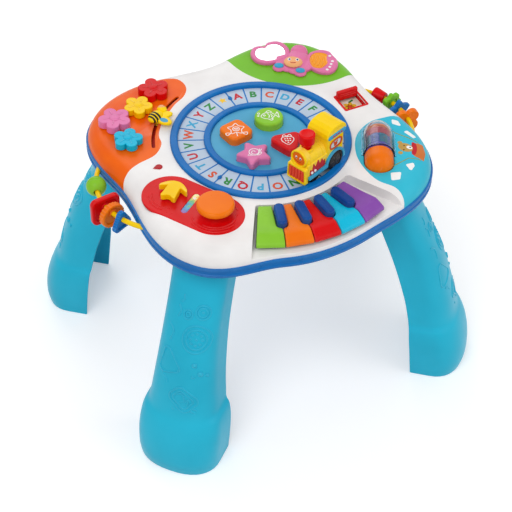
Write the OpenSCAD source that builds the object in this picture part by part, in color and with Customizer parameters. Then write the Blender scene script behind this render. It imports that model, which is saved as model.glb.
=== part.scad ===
// Musical activity table for toddlers, standing on four legs.
// Origin: on the floor under the centre of the letter track. +Z up, the piano side faces -Y.

/* [Table top] */
// Height of the white top face above the floor
deck_z = 372; // [340:1:400]
// Wall of the moulded shells
wall = 3; // [2.4:0.1:4]
// Height of the rounded edge of the top shell
edge_h = 22; // [18:1:26]
// Width of the rounded edge of the top shell
edge_w = 26; // [24:1:27]
// Height of the blue band under the white shell
band_h = 16; // [12:1:20]
// Radius of the back right lobe
lobe_back_right = 258; // [250:1:266]
// Radius of the back left lobe
lobe_back_left = 257; // [250:1:265]
// Radius of the front left lobe
lobe_front_left = 257; // [250:1:265]
// Radius of the front right lobe
lobe_front_right = 249; // [244:1:256]
// Radius at the waist on the right side
waist_right = 210; // [206:1:216]
// Radius at the waist on the back side
waist_back = 202; // [200:1:210]
// Radius at the waist on the left side
waist_left = 215; // [208:1:222]
// Radius at the waist on the piano side
waist_front = 227; // [225:1:234]

/* [Letter track] */
// Outer radius of the letter track
track_r = 130; // [128:0.5:131]
// Width of the outer rim
rim_w = 11; // [9:0.5:13]
// Outer radius of the inner rim
inner_rim_r = 82; // [80:0.5:84]
// Width of the inner rim
inner_rim_w = 10; // [8:0.5:11]
// Height of the outer rim above the white top
rim_rise = 4; // [2:0.5:6]
// Depth of the running surface below the white top
track_depth = 1; // [0:0.5:2]
// Thickness of the letter ring and of the centre plate
label_t = 2.6; // [2:0.1:3]

/* [Buttons] */
// Height of a shape button above the centre plate
button_rise = 11; // [8:0.5:14]
// Travel of a shape button
button_travel = 3; // [2:0.1:4]
// Gap round a button in its opening
button_gap = 0.4; // [0.3:0.05:0.6]

/* [Train] */
// Direction of the train from the table's centre
train_dir = 292; // [280:1:310]
// Radius of the path that the train runs on
train_r = 100; // [98:0.5:102]
// Radius of a rear wheel
rear_wheel_r = 15; // [13:0.5:16]
// Radius of a front wheel
front_wheel_r = 12; // [10:0.5:13]
// Distance from the train's middle to the rear axle
rear_axle_x = 22; // [18:1:24]
// Distance from the train's middle to the front axle
front_axle_x = 19; // [16:1:22]
// Width of the cab
cab_w = 38; // [34:1:42]
// Radius of a wheel axle
axle_r = 2; // [1.5:0.1:2.5]
// Running clearance of a shaft in its bore
run_gap = 0.05; // [0.02:0.01:0.09]

/* [Piano] */
// Direction of the middle of the keyboard
piano_dir = 268.4; // [264:0.2:272]
// Angle from one key to the next
key_pitch = 10.6; // [10:0.1:11]
// Radius of the front of the keys
key_front_r = 217; // [210:1:219]
// Radius of the rear of the keys
key_rear_r = 146; // [144:1:150]
// Gap between two keys
key_gap = 1; // [0.8:0.1:1.6]
// Height of the key tops above the white top
key_rise = 4; // [2:0.5:6]
// Width of a half-tone key
sharp_w = 14; // [12:0.5:15]
// Length of a half-tone key
sharp_l = 42; // [36:1:44]
// Downward turn of a pressed key in degrees
key_turn = 2.6; // [2:0.1:3]

/* [Spinners] */
// Radius of a flower from its centre to a petal tip
flower_r = 21.6; // [18:0.2:22]
// Thickness of a flower
flower_t = 10; // [8:0.5:12]
// Radius of the dial's cap
dial_r = 26; // [22:0.5:28]
// Radius of the colour wheel under the dial
colour_wheel_r = 47; // [44:0.5:48]
// Radius of the roller's drum
roller_r = 20.5; // [18:0.5:21]
// Length of the roller
roller_l = 104; // [90:1:108]

/* [Picture door] */
// Width of the picture window along X
window_w = 35; // [32:0.5:36]
// Length of the picture window along Y
window_l = 34; // [30:0.5:36]
// Depth of the picture under the white top
picture_depth = 11; // [9:0.5:13]

/* [Bead rails] */
// Radius of the rail's rod
rod_r = 3.6; // [3:0.1:4]
// Half of the distance between a rail's ends
rail_half = 74; // [66:1:78]
// How far the rail bows outwards
rail_bow = 30; // [26:1:34]

/* [Legs] */
// Half width of a leg at the top
leg_half_top = 41; // [37:1:43]
// Half width of a leg at the floor
leg_half_foot = 61; // [56:1:64]
// Wall of a leg
leg_wall = 3.6; // [3:0.1:5]

/* [Hidden] */

white = [0.93, 0.92, 0.91];
blue = [0.07, 0.42, 0.74];
cyan = [0.13, 0.66, 0.80];
orange = [0.96, 0.47, 0.13];
red = [0.85, 0.08, 0.14];
green = [0.48, 0.76, 0.20];
yellow = [0.99, 0.80, 0.10];
pink = [0.91, 0.45, 0.68];
purple = [0.53, 0.33, 0.66];
grey = [0.35, 0.36, 0.38];

fine = 96;          // facets asked of a large circle
free = 0.3;         // gap between parts that move past each other
far = 400;          // reaches past the table top
big = 900;          // wider than the whole table

edge_z = deck_z - edge_h;         // lower edge of the white shell
band_z = edge_z - band_h;         // underside of the bottom shell
floor_z = band_z + wall;          // inside floor of the bottom shell
under_z = deck_z - wall;          // underside of the white top
shell_inset = 3;                  // the band stands proud of the white shell

// ---- plan helpers ----

function polar(r, a) = [r * cos(a), r * sin(a)];
function ease(t) = (1 - cos(180 * t)) / 2;
function unit(v) = v / norm(v);
function turn_within(a) = a > 180 ? a - 360 : (a < -180 ? a + 360 : a);

// Closed smooth curve through the points of a list
function smooth(p, steps = 5) = [
  for (i = [0 : len(p) - 1]) for (k = [0 : steps - 1])
    let (n = len(p), a = p[(i + n - 1) % n], b = p[i], c = p[(i + 1) % n], d = p[(i + 2) % n], t = k / steps)
      0.5 * (2 * b + (c - a) * t + (2 * a - 5 * b + 4 * c - d) * t * t + (3 * b - a - 3 * c + d) * t * t * t)
];

// Corners of a polygon rounded with radius r
function rounded(p, r, steps = 5) = [
  for (i = [0 : len(p) - 1])
    let (n = len(p), b = p[i], u = unit(p[(i + n - 1) % n] - b), v = unit(p[(i + 1) % n] - b),
         half = acos(u * v) / 2, m = b + unit(u + v) * r / sin(half),
         s = b + u * r / tan(half) - m, e = b + v * r / tan(half) - m,
         from = atan2(s[1], s[0]), sweep = turn_within(atan2(e[1], e[0]) - from))
      for (k = [0 : steps]) m + polar(r, from + sweep * k / steps)
];

// Lobes and waists of the table's outline, each as [direction, radius]
outline_stops = [
  [8, waist_right], [50, lobe_back_right], [90, waist_back], [143, lobe_back_left],
  [182, waist_left], [225, lobe_front_left], [252, waist_front], [285, waist_front - 3],
  [322, lobe_front_right], [368, waist_right]
];
outline_step = 6;

function stop_before(a, i = 0) = a < outline_stops[i + 1][0] ? i : stop_before(a, i + 1);
function outline_radius(a) =
  let (b = a < outline_stops[0][0] ? a + 360 : a, i = stop_before(b), p = outline_stops[i], q = outline_stops[i + 1])
    p[1] + (q[1] - p[1]) * ease((b - p[0]) / (q[0] - p[0]));
function outline(inset) = [for (a = [0 : outline_step : 359]) polar(outline_radius(a) - inset, a)];

// ---- solids used by several parts ----

// Closed solid through rings that hold the same number of points
module loft(rings) {
  n = len(rings[0]);
  last = len(rings) - 1;
  sides = [for (j = [0 : last - 1]) for (i = [0 : n - 1]) for (half = [0, 1])
    let (a = j * n + i, b = j * n + (i + 1) % n)
      half == 0 ? [a, a + n, b] : [b, a + n, b + n]];
  bottom = [[for (i = [0 : n - 1]) i]];
  top = [[for (i = [n - 1 : -1 : 0]) last * n + i]];
  polyhedron(points = [for (ring = rings) for (p = ring) p], faces = concat(sides, bottom, top));
}

// Solid body of the domed table top, thinned by t on every side
module dome(t) {
  rings = [for (a = [0 : 18 : 90])
    let (inset = shell_inset + t + (edge_w - t) * (1 - cos(a)), z = edge_z + (edge_h - t) * sin(a))
      [for (p = outline(inset)) [p[0], p[1], z]]];
  loft(rings);
}

module prism(z, h) {
  translate([0, 0, z]) linear_extrude(h) children();
}

module tube(outer, inner, z, h) {
  translate([0, 0, z]) difference() {
    cylinder(r = outer, h = h, $fn = fine);
    translate([0, 0, -1]) cylinder(r = inner, h = h + 2, $fn = fine);
  }
}

// Slot shape round the line from p to q
module stadium(p, q, r) {
  heading = atan2(q[1] - p[1], q[0] - p[0]);
  step = r > 12 ? 7.5 : 15;
  polygon(concat(
    [for (a = [-90 : step : 90]) q + polar(r, heading + a)],
    [for (a = [90 : step : 270]) p + polar(r, heading + a)]
  ));
}

// Plane sector between two directions and two radii
module sector(from, to, inner, outer) {
  difference() {
    polygon(concat([[0, 0]], [for (k = [0 : 6]) polar(outer / cos((to - from) / 12), from + (to - from) * k / 6)]));
    circle(r = inner, $fn = fine);
  }
}

// ---- places on the table top ----

capsule_a = [-166, -57];
capsule_b = [-127, -119];
capsule_r = 40;
knob_pos = [-163, -58];
dial_pos = [-126, -117];
slit_a = [-135, -74];
slit_b = [-162, -94];
slit_r = 4.6;
light_pos = [-157, 4];
light_r = 4.6;
flower_phase = [10, 40, 22, 55];
bee_r = 154;
flower_pos = [
  polar(bee_r + 33.6, 121.5), polar(bee_r + 34.8, 135.2), polar(bee_r + 58.2, 146.5), polar(bee_r + 35.4, 158.3)
];
bee_dir = 140;
bee_from = 117;
bee_to = 162;
slot_r = 2.6;
roller_pos = [141.4, -91.5];
roller_dir = 62;
picture_x = waist_right - 68;
picture_y = 5;
butterfly_pos = [126, 133];
butterfly_dir = 59;

orange_outline = [
  [-52, 178], [-48, 155], [-60, 136], [-82, 122], [-112, 94], [-129, 69], [-134, 48], [-152, 30],
  [-182, 22], [-207, 9], [-224, -10], [-290, -30], [-300, 140], [-210, 300], [-128, 250], [-106, 204], [-78, 194]
];
cyan_outline = [
  [240, -40], [190, -34], [159, -34], [128, -52], [108, -85], [102, -118], [106, -150],
  [120, -172], [125, -192], [119, -212], [112, -290], [320, -290], [320, -40]
];
green_centre = [157, 195];
green_r = 120;
green_outline = concat([for (a = [164 : 6 : 290]) green_centre + polar(green_r, a)], [[310, 60], [310, 310], [30, 310]]);

piano_half = 2.5 * key_pitch;
recess_from = piano_dir - piano_half - 1.2;
recess_to = piano_dir + piano_half + 6.5;
recess_r = key_rear_r - 4;
ledge_z = deck_z - 16;

module recess_area(grow) {
  spread = grow * 180 / PI / recess_r;
  sector(recess_from - spread, recess_to + spread, recess_r - grow, far);
}

module window_area(grow = 0) {
  translate([picture_x - grow, picture_y - grow]) square([window_w + 2 * grow, window_l + 2 * grow]);
}

module roller_area(grow) {
  half = roller_l / 2 - roller_r;
  stadium(roller_pos - polar(half, roller_dir), roller_pos + polar(half, roller_dir), roller_r + grow);
}

module light_area(grow = 0) {
  r = light_r + grow;
  translate(light_pos) polygon(concat([for (a = [-126 : 14 : 126]) polar(r, a)], [[-1.75 * r, 0]]));
}

// ---- shells ----

post_pos = [[175, -14], [10, 163], [-188, -6], [-115, -171]];
post_r = 4;
post_join_z = deck_z - 20;
screw_r = 1.5;

module plain_wall() {
  difference() {
    dome(0);
    translate([0, 0, -0.01]) dome(wall);
  }
}

module shell_wall() {
  difference() {
    dome(0);
    difference() {
      translate([0, 0, -0.01]) dome(wall);
      prism(ledge_z - wall, far) recess_area(wall);
    }
    prism(ledge_z, far) recess_area(0);
  }
}

module top_shell() color(white) {
  difference() {
    shell_wall();
    prism(edge_z - 1, far) polygon(smooth(orange_outline));
    prism(edge_z - 1, far) polygon(smooth(cyan_outline));
    prism(edge_z - 1, far) polygon(green_outline);
    prism(under_z - 1, far) stadium(capsule_a, capsule_b, capsule_r);
    prism(under_z - 1, far) circle(r = track_r + free, $fn = fine);
    prism(under_z - 1, far) window_area();
    prism(under_z - 1, far) light_area(run_gap);
  }
  for (p = post_pos) translate(p) tube(post_r, screw_r + run_gap, post_join_z, under_z + 0.4 - post_join_z);
}

module orange_panel() color(orange) difference() {
  intersection() {
    plain_wall();
    prism(edge_z - 1, far) polygon(smooth(orange_outline));
  }
  for (p = flower_pos) translate(p) translate([0, 0, edge_z]) cylinder(r = stem_r + run_gap, h = far, $fn = 48);
  prism(edge_z, far) bee_slot();
}

module bee_slot() {
  difference() {
    sector(bee_from, bee_to, bee_r - slot_r, far);
    difference() {
      circle(r = 2 * far, $fn = 48);
      circle(r = bee_r + slot_r, $fn = fine);
    }
  }
  translate(polar(bee_r, bee_from)) circle(r = slot_r, $fn = 48);
  translate(polar(bee_r, bee_to)) circle(r = slot_r, $fn = 48);
}

module green_panel() color(green) intersection() {
  plain_wall();
  prism(edge_z - 1, far) polygon(green_outline);
}

module cyan_panel() color(cyan) difference() {
  intersection() {
    shell_wall();
    prism(edge_z - 1, far) polygon(smooth(cyan_outline));
  }
  prism(edge_z, far) roller_area(1.2);
}

module red_panel() color(red) {
  difference() {
    prism(under_z, wall + 0.6) stadium(capsule_a, capsule_b, capsule_r);
    prism(under_z - 1, far) translate(knob_pos) circle(r = stem_r + run_gap, $fn = 48);
    prism(under_z - 1, far) translate(dial_pos) circle(r = dial_stem_r + run_gap, $fn = 48);
    prism(under_z - 1, far) stadium(slit_a, slit_b, slit_r + run_gap);
  }
  difference() {
    for (r = [dial_r + 3, dial_r + 9]) translate(dial_pos) tube(r + 1.2, r - 1.2, deck_z + 0.6, 0.9);
    prism(deck_z, 9) translate(dial_pos) rotate(60) sector(0, 290, 0, far);
  }
}

module bottom_shell() color(blue) {
  difference() {
    prism(band_z, band_h) polygon(outline(0));
    prism(floor_z, band_h) polygon(outline(wall + shell_inset));
    prism(band_z + 5, 7) difference() {
      circle(r = far, $fn = 48);
      polygon(outline(1.2));
    }
    for (s = [-1, 1]) rail_bar(s, rod_r + run_gap, 2 * rail_arc_a + 2 * rail_plug);
    for (i = [0 : 3]) at_leg(i) prism(band_z - 1, wall + 2) leg_tongue_area(free);
    for (p = post_pos) translate([p[0], p[1], band_z - 1]) cylinder(r = screw_r + run_gap, h = wall + 2, $fn = 32);
    translate([battery_x, battery_y, band_z - 1]) linear_extrude(wall + 2)
      square([battery_w, battery_l], center = true);
    for (i = [-3 : 3]) translate([speaker_pos[0] - 22, speaker_pos[1] + i * 6 - 1.2, band_z - 1])
      cube([44, 2.4, wall + 2]);
  }
  for (p = post_pos) translate(p) tube(post_r, screw_r + run_gap, floor_z, post_join_z - floor_z);
  for (p = board_posts) translate([p[0], p[1], floor_z]) cylinder(r = 3, h = board_z - floor_z, $fn = 32);
  roller_cradle();
}

// ---- letter track ----

tray_bottom_z = under_z - 3;
tray_flange = 4;
track_z = deck_z - track_depth;
centre_z = track_z;

module track_tray() color(blue) {
  difference() {
    union() {
      translate([0, 0, tray_bottom_z])
        cylinder(r = track_r + tray_flange, h = under_z - run_gap - tray_bottom_z, $fn = fine);
      translate([0, 0, under_z - 0.5]) cylinder(r = track_r, h = deck_z + rim_rise - under_z + 0.5, $fn = fine);
    }
    translate([0, 0, track_z - label_t]) cylinder(r = track_r - rim_w, h = far, $fn = fine);
    for (i = [0 : 3]) prism(tray_bottom_z - 1, 9) button_area(i, button_gap);
    prism(tray_bottom_z - 1, under_z - tray_bottom_z + 2) stadium(capsule_a, capsule_b, capsule_r + 1);
  }
  tube(inner_rim_r, inner_rim_r - inner_rim_w, track_z - label_t, label_t + track_depth + 3);
}

module letter_ring() color([0.72, 0.80, 0.88]) {
  tube(track_r - rim_w, inner_rim_r, track_z - label_t, label_t);
}

module centre_plate() color([0.30, 0.68, 0.84]) difference() {
  translate([0, 0, centre_z - label_t]) cylinder(r = inner_rim_r - inner_rim_w, h = label_t, $fn = fine);
  for (i = [0 : 3]) prism(centre_z - label_t - 1, label_t + 2) button_area(i, button_gap);
}

// ---- shape buttons ----

button_pos = [[27, 29], [-29, 22], [-28, -35], [27, -31]];
button_turn = [0, 12, 20, -8];
button_flange_t = 2;
button_flange_z = tray_bottom_z - free - button_flange_t;
plunger_z = button_flange_z - 3;

function star_points(n, outer, inner) = [for (i = [0 : 2 * n - 1]) polar(i % 2 == 0 ? outer : inner, i * 180 / n)];

module button_shape(i, grow) {
  if (i == 0) circle(r = 21 + grow, $fn = fine);
  if (i == 1) polygon(rounded([for (a = [45 : 90 : 315]) polar(27.5 + grow * sqrt(2), a)], 10 + grow, 6));
  if (i == 2) polygon(rounded(star_points(5, 28.5 + 1.6 * grow, 15.5 + grow), 3.2, 4));
  if (i == 3) polygon(rounded([for (a = [30 : 120 : 270]) polar(31 + 2 * grow, a)], 9 + grow, 6));
}

module button_area(i, grow) {
  translate(button_pos[i]) rotate(button_turn[i]) button_shape(i, grow);
}

module shape_button(i, tint) color(tint) {
  top = centre_z + button_rise;
  difference() {
    union() {
      prism(button_flange_z, top - 1.5 - button_flange_z) button_area(i, 0);
      prism(top - 1.5 - weld, 1.5 + weld) button_area(i, -1.2);
      prism(button_flange_z, button_flange_t) button_area(i, 1.5);
    }
    prism(button_flange_z - 1, top - 3 - button_flange_z) button_area(i, -2.2);
  }
  translate([button_pos[i][0], button_pos[i][1], plunger_z]) cylinder(r = pad_r, h = top - 2 - plunger_z, $fn = 32);
}

// ---- legs ----

leg_places = [[40, 0], [141, 6], [221.5, -3], [321, -4]];    // direction and shift outwards
leg_top_z = band_z - run_gap;
knee_z = 97;                          // ledge between the foot and the curved part
tongue_h = 14;
weld = 0.4;                           // overlap that joins two blocks of one part

function above_knee(share) = knee_z + (leg_top_z - knee_z) * share;

// Height, outer face, inner face, half width and depth of the rounded outer face
leg_rows = [
  [0, 338, 262, leg_half_foot, 46],
  [20, 341, 260, leg_half_foot + 1, 45],
  [48, 338, 257, leg_half_foot + 1.5, 43],
  [72, 331, 254, leg_half_foot + 0.5, 41],
  [89, 323, 252, leg_half_foot - 2.5, 40],
  [knee_z, 318, 250, leg_half_foot - 8, 40],
  [above_knee(0.06), 313, 247, leg_half_foot - 10, 39],
  [above_knee(0.21), 304, 238, leg_half_foot - 14, 37],
  [above_knee(0.445), 285, 219, leg_half_top + 1.5, 33],
  [above_knee(0.65), 262, 200, leg_half_top, 28],
  [above_knee(0.825), 241, 183, leg_half_top, 24],
  [leg_top_z, 224, 166, leg_half_top, 20]
];

// Plan section of a leg, flat inside and rounded outside
function leg_section(row, t, back) = concat(
  [[row[2] - back, t - row[3], row[0]]],
  [for (a = [-90 : 15 : 90]) [
    row[1] - t - row[4] * (1 - pow(abs(cos(a)), 0.85)),
    (row[3] - t) * sign(a) * pow(abs(sin(a)), 0.85),
    row[0]
  ]],
  [[row[2] - back, row[3] - t, row[0]]]
);

module leg_solid(t, back) {
  loft([for (row = leg_rows) leg_section(row, t, back)]);
}

module at_leg(i) {
  rotate(leg_places[i][0]) translate([leg_places[i][1], 0, 0]) children();
}

module leg_tongue_area(grow) {
  translate([198 - 14 - grow, -24 - grow]) square([28 + 2 * grow, 48 + 2 * grow]);
}

module one_leg() {
  difference() {
    leg_solid(0, 0);
    intersection() {
      translate([0, 0, -0.01]) leg_solid(leg_wall, 30);
      translate([-big / 2, -big / 2, -1]) cube([big, big, leg_top_z - leg_wall + 1]);
    }
  }
  prism(leg_top_z - leg_wall, tongue_h + leg_wall) leg_tongue_area(0);
}

module legs() color(cyan) {
  for (i = [0 : 3]) at_leg(i) one_leg();
}

// ---- bead rails ----

rail_z = band_z + band_h / 2 + 1;
rail_arc_r = (rail_half * rail_half + rail_bow * rail_bow) / (2 * rail_bow);
rail_arc_a = asin(rail_half / rail_arc_r);
rail_shift = [4, -4];                 // the left rail sits a little further back than the right one
rail_plug = 7;                        // degrees of arc that enter the band

// Distance of a rail's ends from the table's centre, on side -1 (left) or 1 (right)
function rail_end_x(side) = side < 0 ? waist_left : waist_right - 4;

// Centre of a rail's arc
function rail_centre(side) = [
  side * (rail_end_x(side) + rail_bow - rail_arc_r),
  side < 0 ? rail_shift[0] : rail_shift[1]
];

module rail_bar(side, r, sweep) {
  c = rail_centre(side);
  translate([c[0], c[1], rail_z]) rotate([0, 0, (side > 0 ? 0 : 180) - sweep / 2])
    rotate_extrude(angle = sweep, $fn = fine) translate([rail_arc_r, 0]) circle(r = r, $fn = 32);
}

module rail(side) color(yellow) rail_bar(side, rod_r, 2 * rail_arc_a + rail_plug);

// Puts a bead's parts on a rail at an angle from the rail's middle, with X outwards and Y along the rod
module on_rail(side, a) {
  c = rail_centre(side);
  translate([c[0], c[1], rail_z]) rotate([0, 0, (side > 0 ? 0 : 180) + a]) translate([rail_arc_r, 0, 0]) children();
}

bead_hole_r = rod_r + free;            // bore of a flat bead
long_hole_r = rod_r + 1.3;             // bore of a long bead, wide enough for the bent rod

// A flat bead: an outline around the rod, standing across it
module flat_bead(t, drop) {
  difference() {
    translate([0, 0, -drop]) rotate([90, 0, 0]) linear_extrude(t, center = true) children();
    rotate([90, 0, 0]) cylinder(r = bead_hole_r, h = t + 2, center = true, $fn = 48);
  }
}

left_bead_angle = [-17, 6.5, 15.5, 26];
right_bead_angle = [27, 15.8, 5.8, -7];

module green_ball() color(green) on_rail(-1, left_bead_angle[0]) difference() {
  sphere(r = 14.5, $fn = 64);
  rotate([90, 0, 0]) cylinder(r = long_hole_r, h = 40, center = true, $fn = 48);
}
module red_ring() color(red) on_rail(-1, left_bead_angle[1]) flat_bead(8, 6) difference() {
  polygon(rounded([for (a = [45 : 90 : 315]) polar(31, a)], 9));
  translate([0, -7]) circle(r = 7, $fn = 48);
}
module orange_ring() color(orange) on_rail(-1, left_bead_angle[2]) flat_bead(9, 5) difference() {
  circle(r = 19, $fn = 64);
  translate([0, -8]) circle(r = 6.5, $fn = 48);
}
module blue_ring() color(blue) on_rail(-1, left_bead_angle[3]) flat_bead(7, 5) difference() {
  polygon(rounded([for (a = [90 : 120 : 330]) polar(25, a)], 7));
  translate([0, -7]) circle(r = 4.5, $fn = 48);
}
module red_cone() color(red) on_rail(1, right_bead_angle[0]) rotate([90, 0, 0]) difference() {
  union() {
    translate([0, 0, -9]) cylinder(r1 = 11, r2 = 8, h = 18, $fn = 64);
    translate([0, 0, -11]) cylinder(r = 11, h = 2, $fn = 64);
  }
  cylinder(r = long_hole_r, h = 60, center = true, $fn = 48);
}
module green_wave() color(green) on_rail(1, right_bead_angle[1]) flat_bead(8, 4) difference() {
  polygon([for (a = [0 : 6 : 354]) polar(18 + 1.6 * cos(8 * a), a)]);
  translate([0, -8]) circle(r = 6, $fn = 48);
}
module blue_star() color(blue) on_rail(1, right_bead_angle[2]) flat_bead(8, 4)
  polygon(rounded(star_points(5, 21, 13), 3, 4));
module orange_clover() color(orange) on_rail(1, right_bead_angle[3]) flat_bead(9, 5) {
  for (a = [45 : 90 : 315]) translate(polar(11.5, a)) circle(r = 9.5, $fn = 48);
  circle(r = 8, $fn = 48);
}

// ---- flowers, bee, knob and dial ----

stem_r = 4;
stem_clip_r = 6;
stem_clip_t = 2;

// Clip that holds a spinning part from below
module stem(r, clip_r, top) {
  translate([0, 0, under_z - free - stem_clip_t]) cylinder(r = clip_r, h = stem_clip_t, $fn = 48);
  translate([0, 0, under_z - free - stem_clip_t]) cylinder(r = r, h = top - under_z + free + stem_clip_t, $fn = 48);
}

petal_r = flower_r * 0.39;

module flower(i, tint) color(tint) translate(flower_pos[i]) rotate(flower_phase[i]) {
  prism(deck_z + 1, flower_t) {
    for (k = [0 : 4]) rotate(72 * k) translate([flower_r - petal_r, 0]) circle(r = petal_r, $fn = 48);
    circle(r = flower_r - petal_r, $fn = 48);
  }
  translate([0, 0, deck_z + 1 + flower_t]) cylinder(r1 = 6.5, r2 = 5, h = 1.6, $fn = 48);
  stem(stem_r, stem_clip_r, deck_z + 2);
}

bee_base_z = deck_z + free;

module bee() color(yellow) rotate(bee_dir) translate([bee_r, 0, 0]) {
  translate([0, 0, bee_base_z]) cylinder(r = 8, h = 2.5, $fn = 48);
  translate([0, 0, bee_base_z + 7.4]) rotate([90, 0, 0]) rotate_extrude($fn = 48)
    intersection() {
      circle(r = 7.4, $fn = 48);
      translate([0, -10]) square([10, 20]);
    }
  for (s = [-1, 1]) translate([0, s * 8.5, bee_base_z + 7.4]) sphere(r = 5.4, $fn = 48);
  translate([0, 0, under_z - free - stem_clip_t]) cylinder(r = slot_r - 0.2, h = bee_base_z - under_z + free + stem_clip_t + 1, $fn = 32);
  translate([0, 0, under_z - free - stem_clip_t]) cylinder(r = 5, h = stem_clip_t, $fn = 32);
}

arrow_turn = 40;
arrow_t = 9;
arrow_z = deck_z + 3;

module arrow_knob() color(yellow) translate(knob_pos) {
  prism(arrow_z, arrow_t) rotate(arrow_turn) polygon(rounded([
    [22, 0], [2, 20], [-3, 12], [-2, 9], [-20, 10], [-15, 0], [-20, -10], [-2, -9], [-3, -12], [2, -20]
  ], 1.4, 3));
  translate([0, 0, deck_z + 0.6 + free]) cylinder(r = 9, h = arrow_z - deck_z - 0.6 - free, $fn = 48);
  stem(stem_r, stem_clip_r, arrow_z);
}

dial_stem_r = 9;
dial_gap = 12;
dial_t = 9;
colour_wheel_z = under_z - 8;
colour_wheel_t = 2;
hub_r = 5;

module dial() color(orange) translate(dial_pos) {
  z = deck_z + dial_gap;
  translate([0, 0, z]) cylinder(r1 = dial_r - 2.5, r2 = dial_r, h = 2.5, $fn = fine);
  translate([0, 0, z + 2.5]) cylinder(r = dial_r, h = dial_t - 5, $fn = fine);
  translate([0, 0, z + dial_t - 2.5]) cylinder(r1 = dial_r, r2 = dial_r - 3.5, h = 2.5, $fn = fine);
  translate([0, 0, under_z - 3]) cylinder(r = dial_stem_r, h = z - under_z + 3, $fn = 48);
  translate([0, 0, colour_wheel_z - 3]) cylinder(r = hub_r, h = under_z - colour_wheel_z, $fn = 48);
}

module colour_wheel() color([0.5, 0.8, 0.5]) translate(dial_pos) {
  tube(colour_wheel_r, hub_r, colour_wheel_z, colour_wheel_t);
  tube(hub_r + 3, hub_r, colour_wheel_z + colour_wheel_t, under_z - 3 - colour_wheel_z - colour_wheel_t);
}

module lenses() {
  color([0.8, 0.9, 0.95, 0.5]) prism(under_z, wall + 0.3) stadium(slit_a, slit_b, slit_r);
  color(red) prism(under_z, wall + 1) light_area();
}

// ---- roller ----

roller_z = deck_z + 1;
shaft_r = 3;
barrel_l = 34;
barrel_end = barrel_l - roller_l / 2;
drum_r = roller_r - 2.5;
drum_end = roller_l / 2 - 26;
neck_l = 5;
dome_t = 1.6;
dome_gap = 0.6;
dome_nose = 34;                       // length of the dome's tapered end

// Turns a part drawn along +Z so that it lies along the roller, with its near end at -Z
module along_roller() {
  translate([roller_pos[0], roller_pos[1], roller_z]) rotate([0, 90, roller_dir]) children();
}

// Half outline of a bar from z0 to z1 with a rounded end of length nose, at z1 for side 1 and at z0 for side -1
module bullet(r, z0, z1, nose, side) {
  tip = side > 0 ? z1 : z0;
  root = side > 0 ? z0 : z1;
  polygon(concat(
    [[0, root], [r, root]],
    [for (a = [0 : 9 : 81]) [r * cos(a), tip - side * nose * (1 - sin(a))]],
    [[0, tip]]
  ));
}

module roller() color(orange) along_roller() {
  rotate_extrude($fn = 64) bullet(roller_r, -roller_l / 2, barrel_end, 0.98 * roller_r, -1);
  translate([0, 0, barrel_end + neck_l]) cylinder(r = drum_r, h = drum_end - barrel_end - neck_l, $fn = 64);
  translate([0, 0, drum_end + neck_l]) cylinder(r1 = drum_r, r2 = drum_r - 9, h = 12, $fn = 64);
  translate([0, 0, barrel_end - 1]) cylinder(r = shaft_r, h = drum_end + neck_l + 2 - barrel_end, $fn = 48);
}

module roller_dome() color([0.8, 0.85, 0.9, 0.4]) {
  difference() {
    along_roller() rotate_extrude($fn = 64) difference() {
      bullet(roller_r + dome_gap + dome_t, barrel_end + dome_gap, roller_l / 2 + dome_t, dome_nose + dome_t, 1);
      bullet(roller_r + dome_gap, barrel_end, roller_l / 2, dome_nose, 1);
    }
    translate([-big / 2, -big / 2, deck_z - far]) cube([big, big, far]);
  }
  prism(deck_z, 1.2) difference() {
    roller_area(dome_gap + dome_t + 2);
    roller_area(dome_gap + 0.4);
    translate(roller_pos) rotate(roller_dir) translate([-roller_l, -far])
      square([roller_l + barrel_end + dome_gap, 2 * far]);
  }
}

cradle_t = 3;
cradle_w = 16;

// Two bearing plates for the roller's shaft, standing on the floor of the housing
module roller_cradle() {
  for (x = [barrel_end, drum_end]) difference() {
    translate([roller_pos[0], roller_pos[1], floor_z]) rotate(roller_dir)
      translate([x + (neck_l - cradle_t) / 2, -cradle_w / 2, 0]) cube([cradle_t, cradle_w, roller_z - floor_z + cradle_w / 2]);
    along_roller() cylinder(r = shaft_r + run_gap, h = 2 * far, center = true, $fn = 48);
  }
}

// ---- picture door ----

tray_z = deck_z - picture_depth;
slide_z = under_z - 1;                // top of the sliding plate
door_t = 2.2;
door_travel = window_l - 4;
door_y = picture_y + window_l - 3.4;
lip_h = 8.5;

module picture_tray() color(red) difference() {
  prism(tray_z - 2, under_z - 1.4 - tray_z + 2) translate([picture_x - 3, picture_y - 3])
    square([window_w + 6, 2 * window_l + 8]);
  prism(tray_z, far) translate([picture_x - 1, picture_y]) square([window_w + 2, 2 * window_l + 3]);
}

module picture_card() color([0.98, 0.95, 0.85]) {
  prism(tray_z, 0.6) translate([picture_x, picture_y + 1]) square([window_w, window_l]);
}

module picture_door() color(red) {
  prism(slide_z - door_t, door_t) translate([picture_x - 0.6, door_y]) square([window_w + 1.2, window_l + 2]);
  prism(slide_z - weld, deck_z + lip_h - slide_z + weld) translate([picture_x + free, door_y])
    square([window_w - 2 * free, 3]);
}

// ---- butterfly ----

module in_butterfly() {
  translate([butterfly_pos[0], butterfly_pos[1], deck_z]) rotate(butterfly_dir - 90) children();
}

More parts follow.
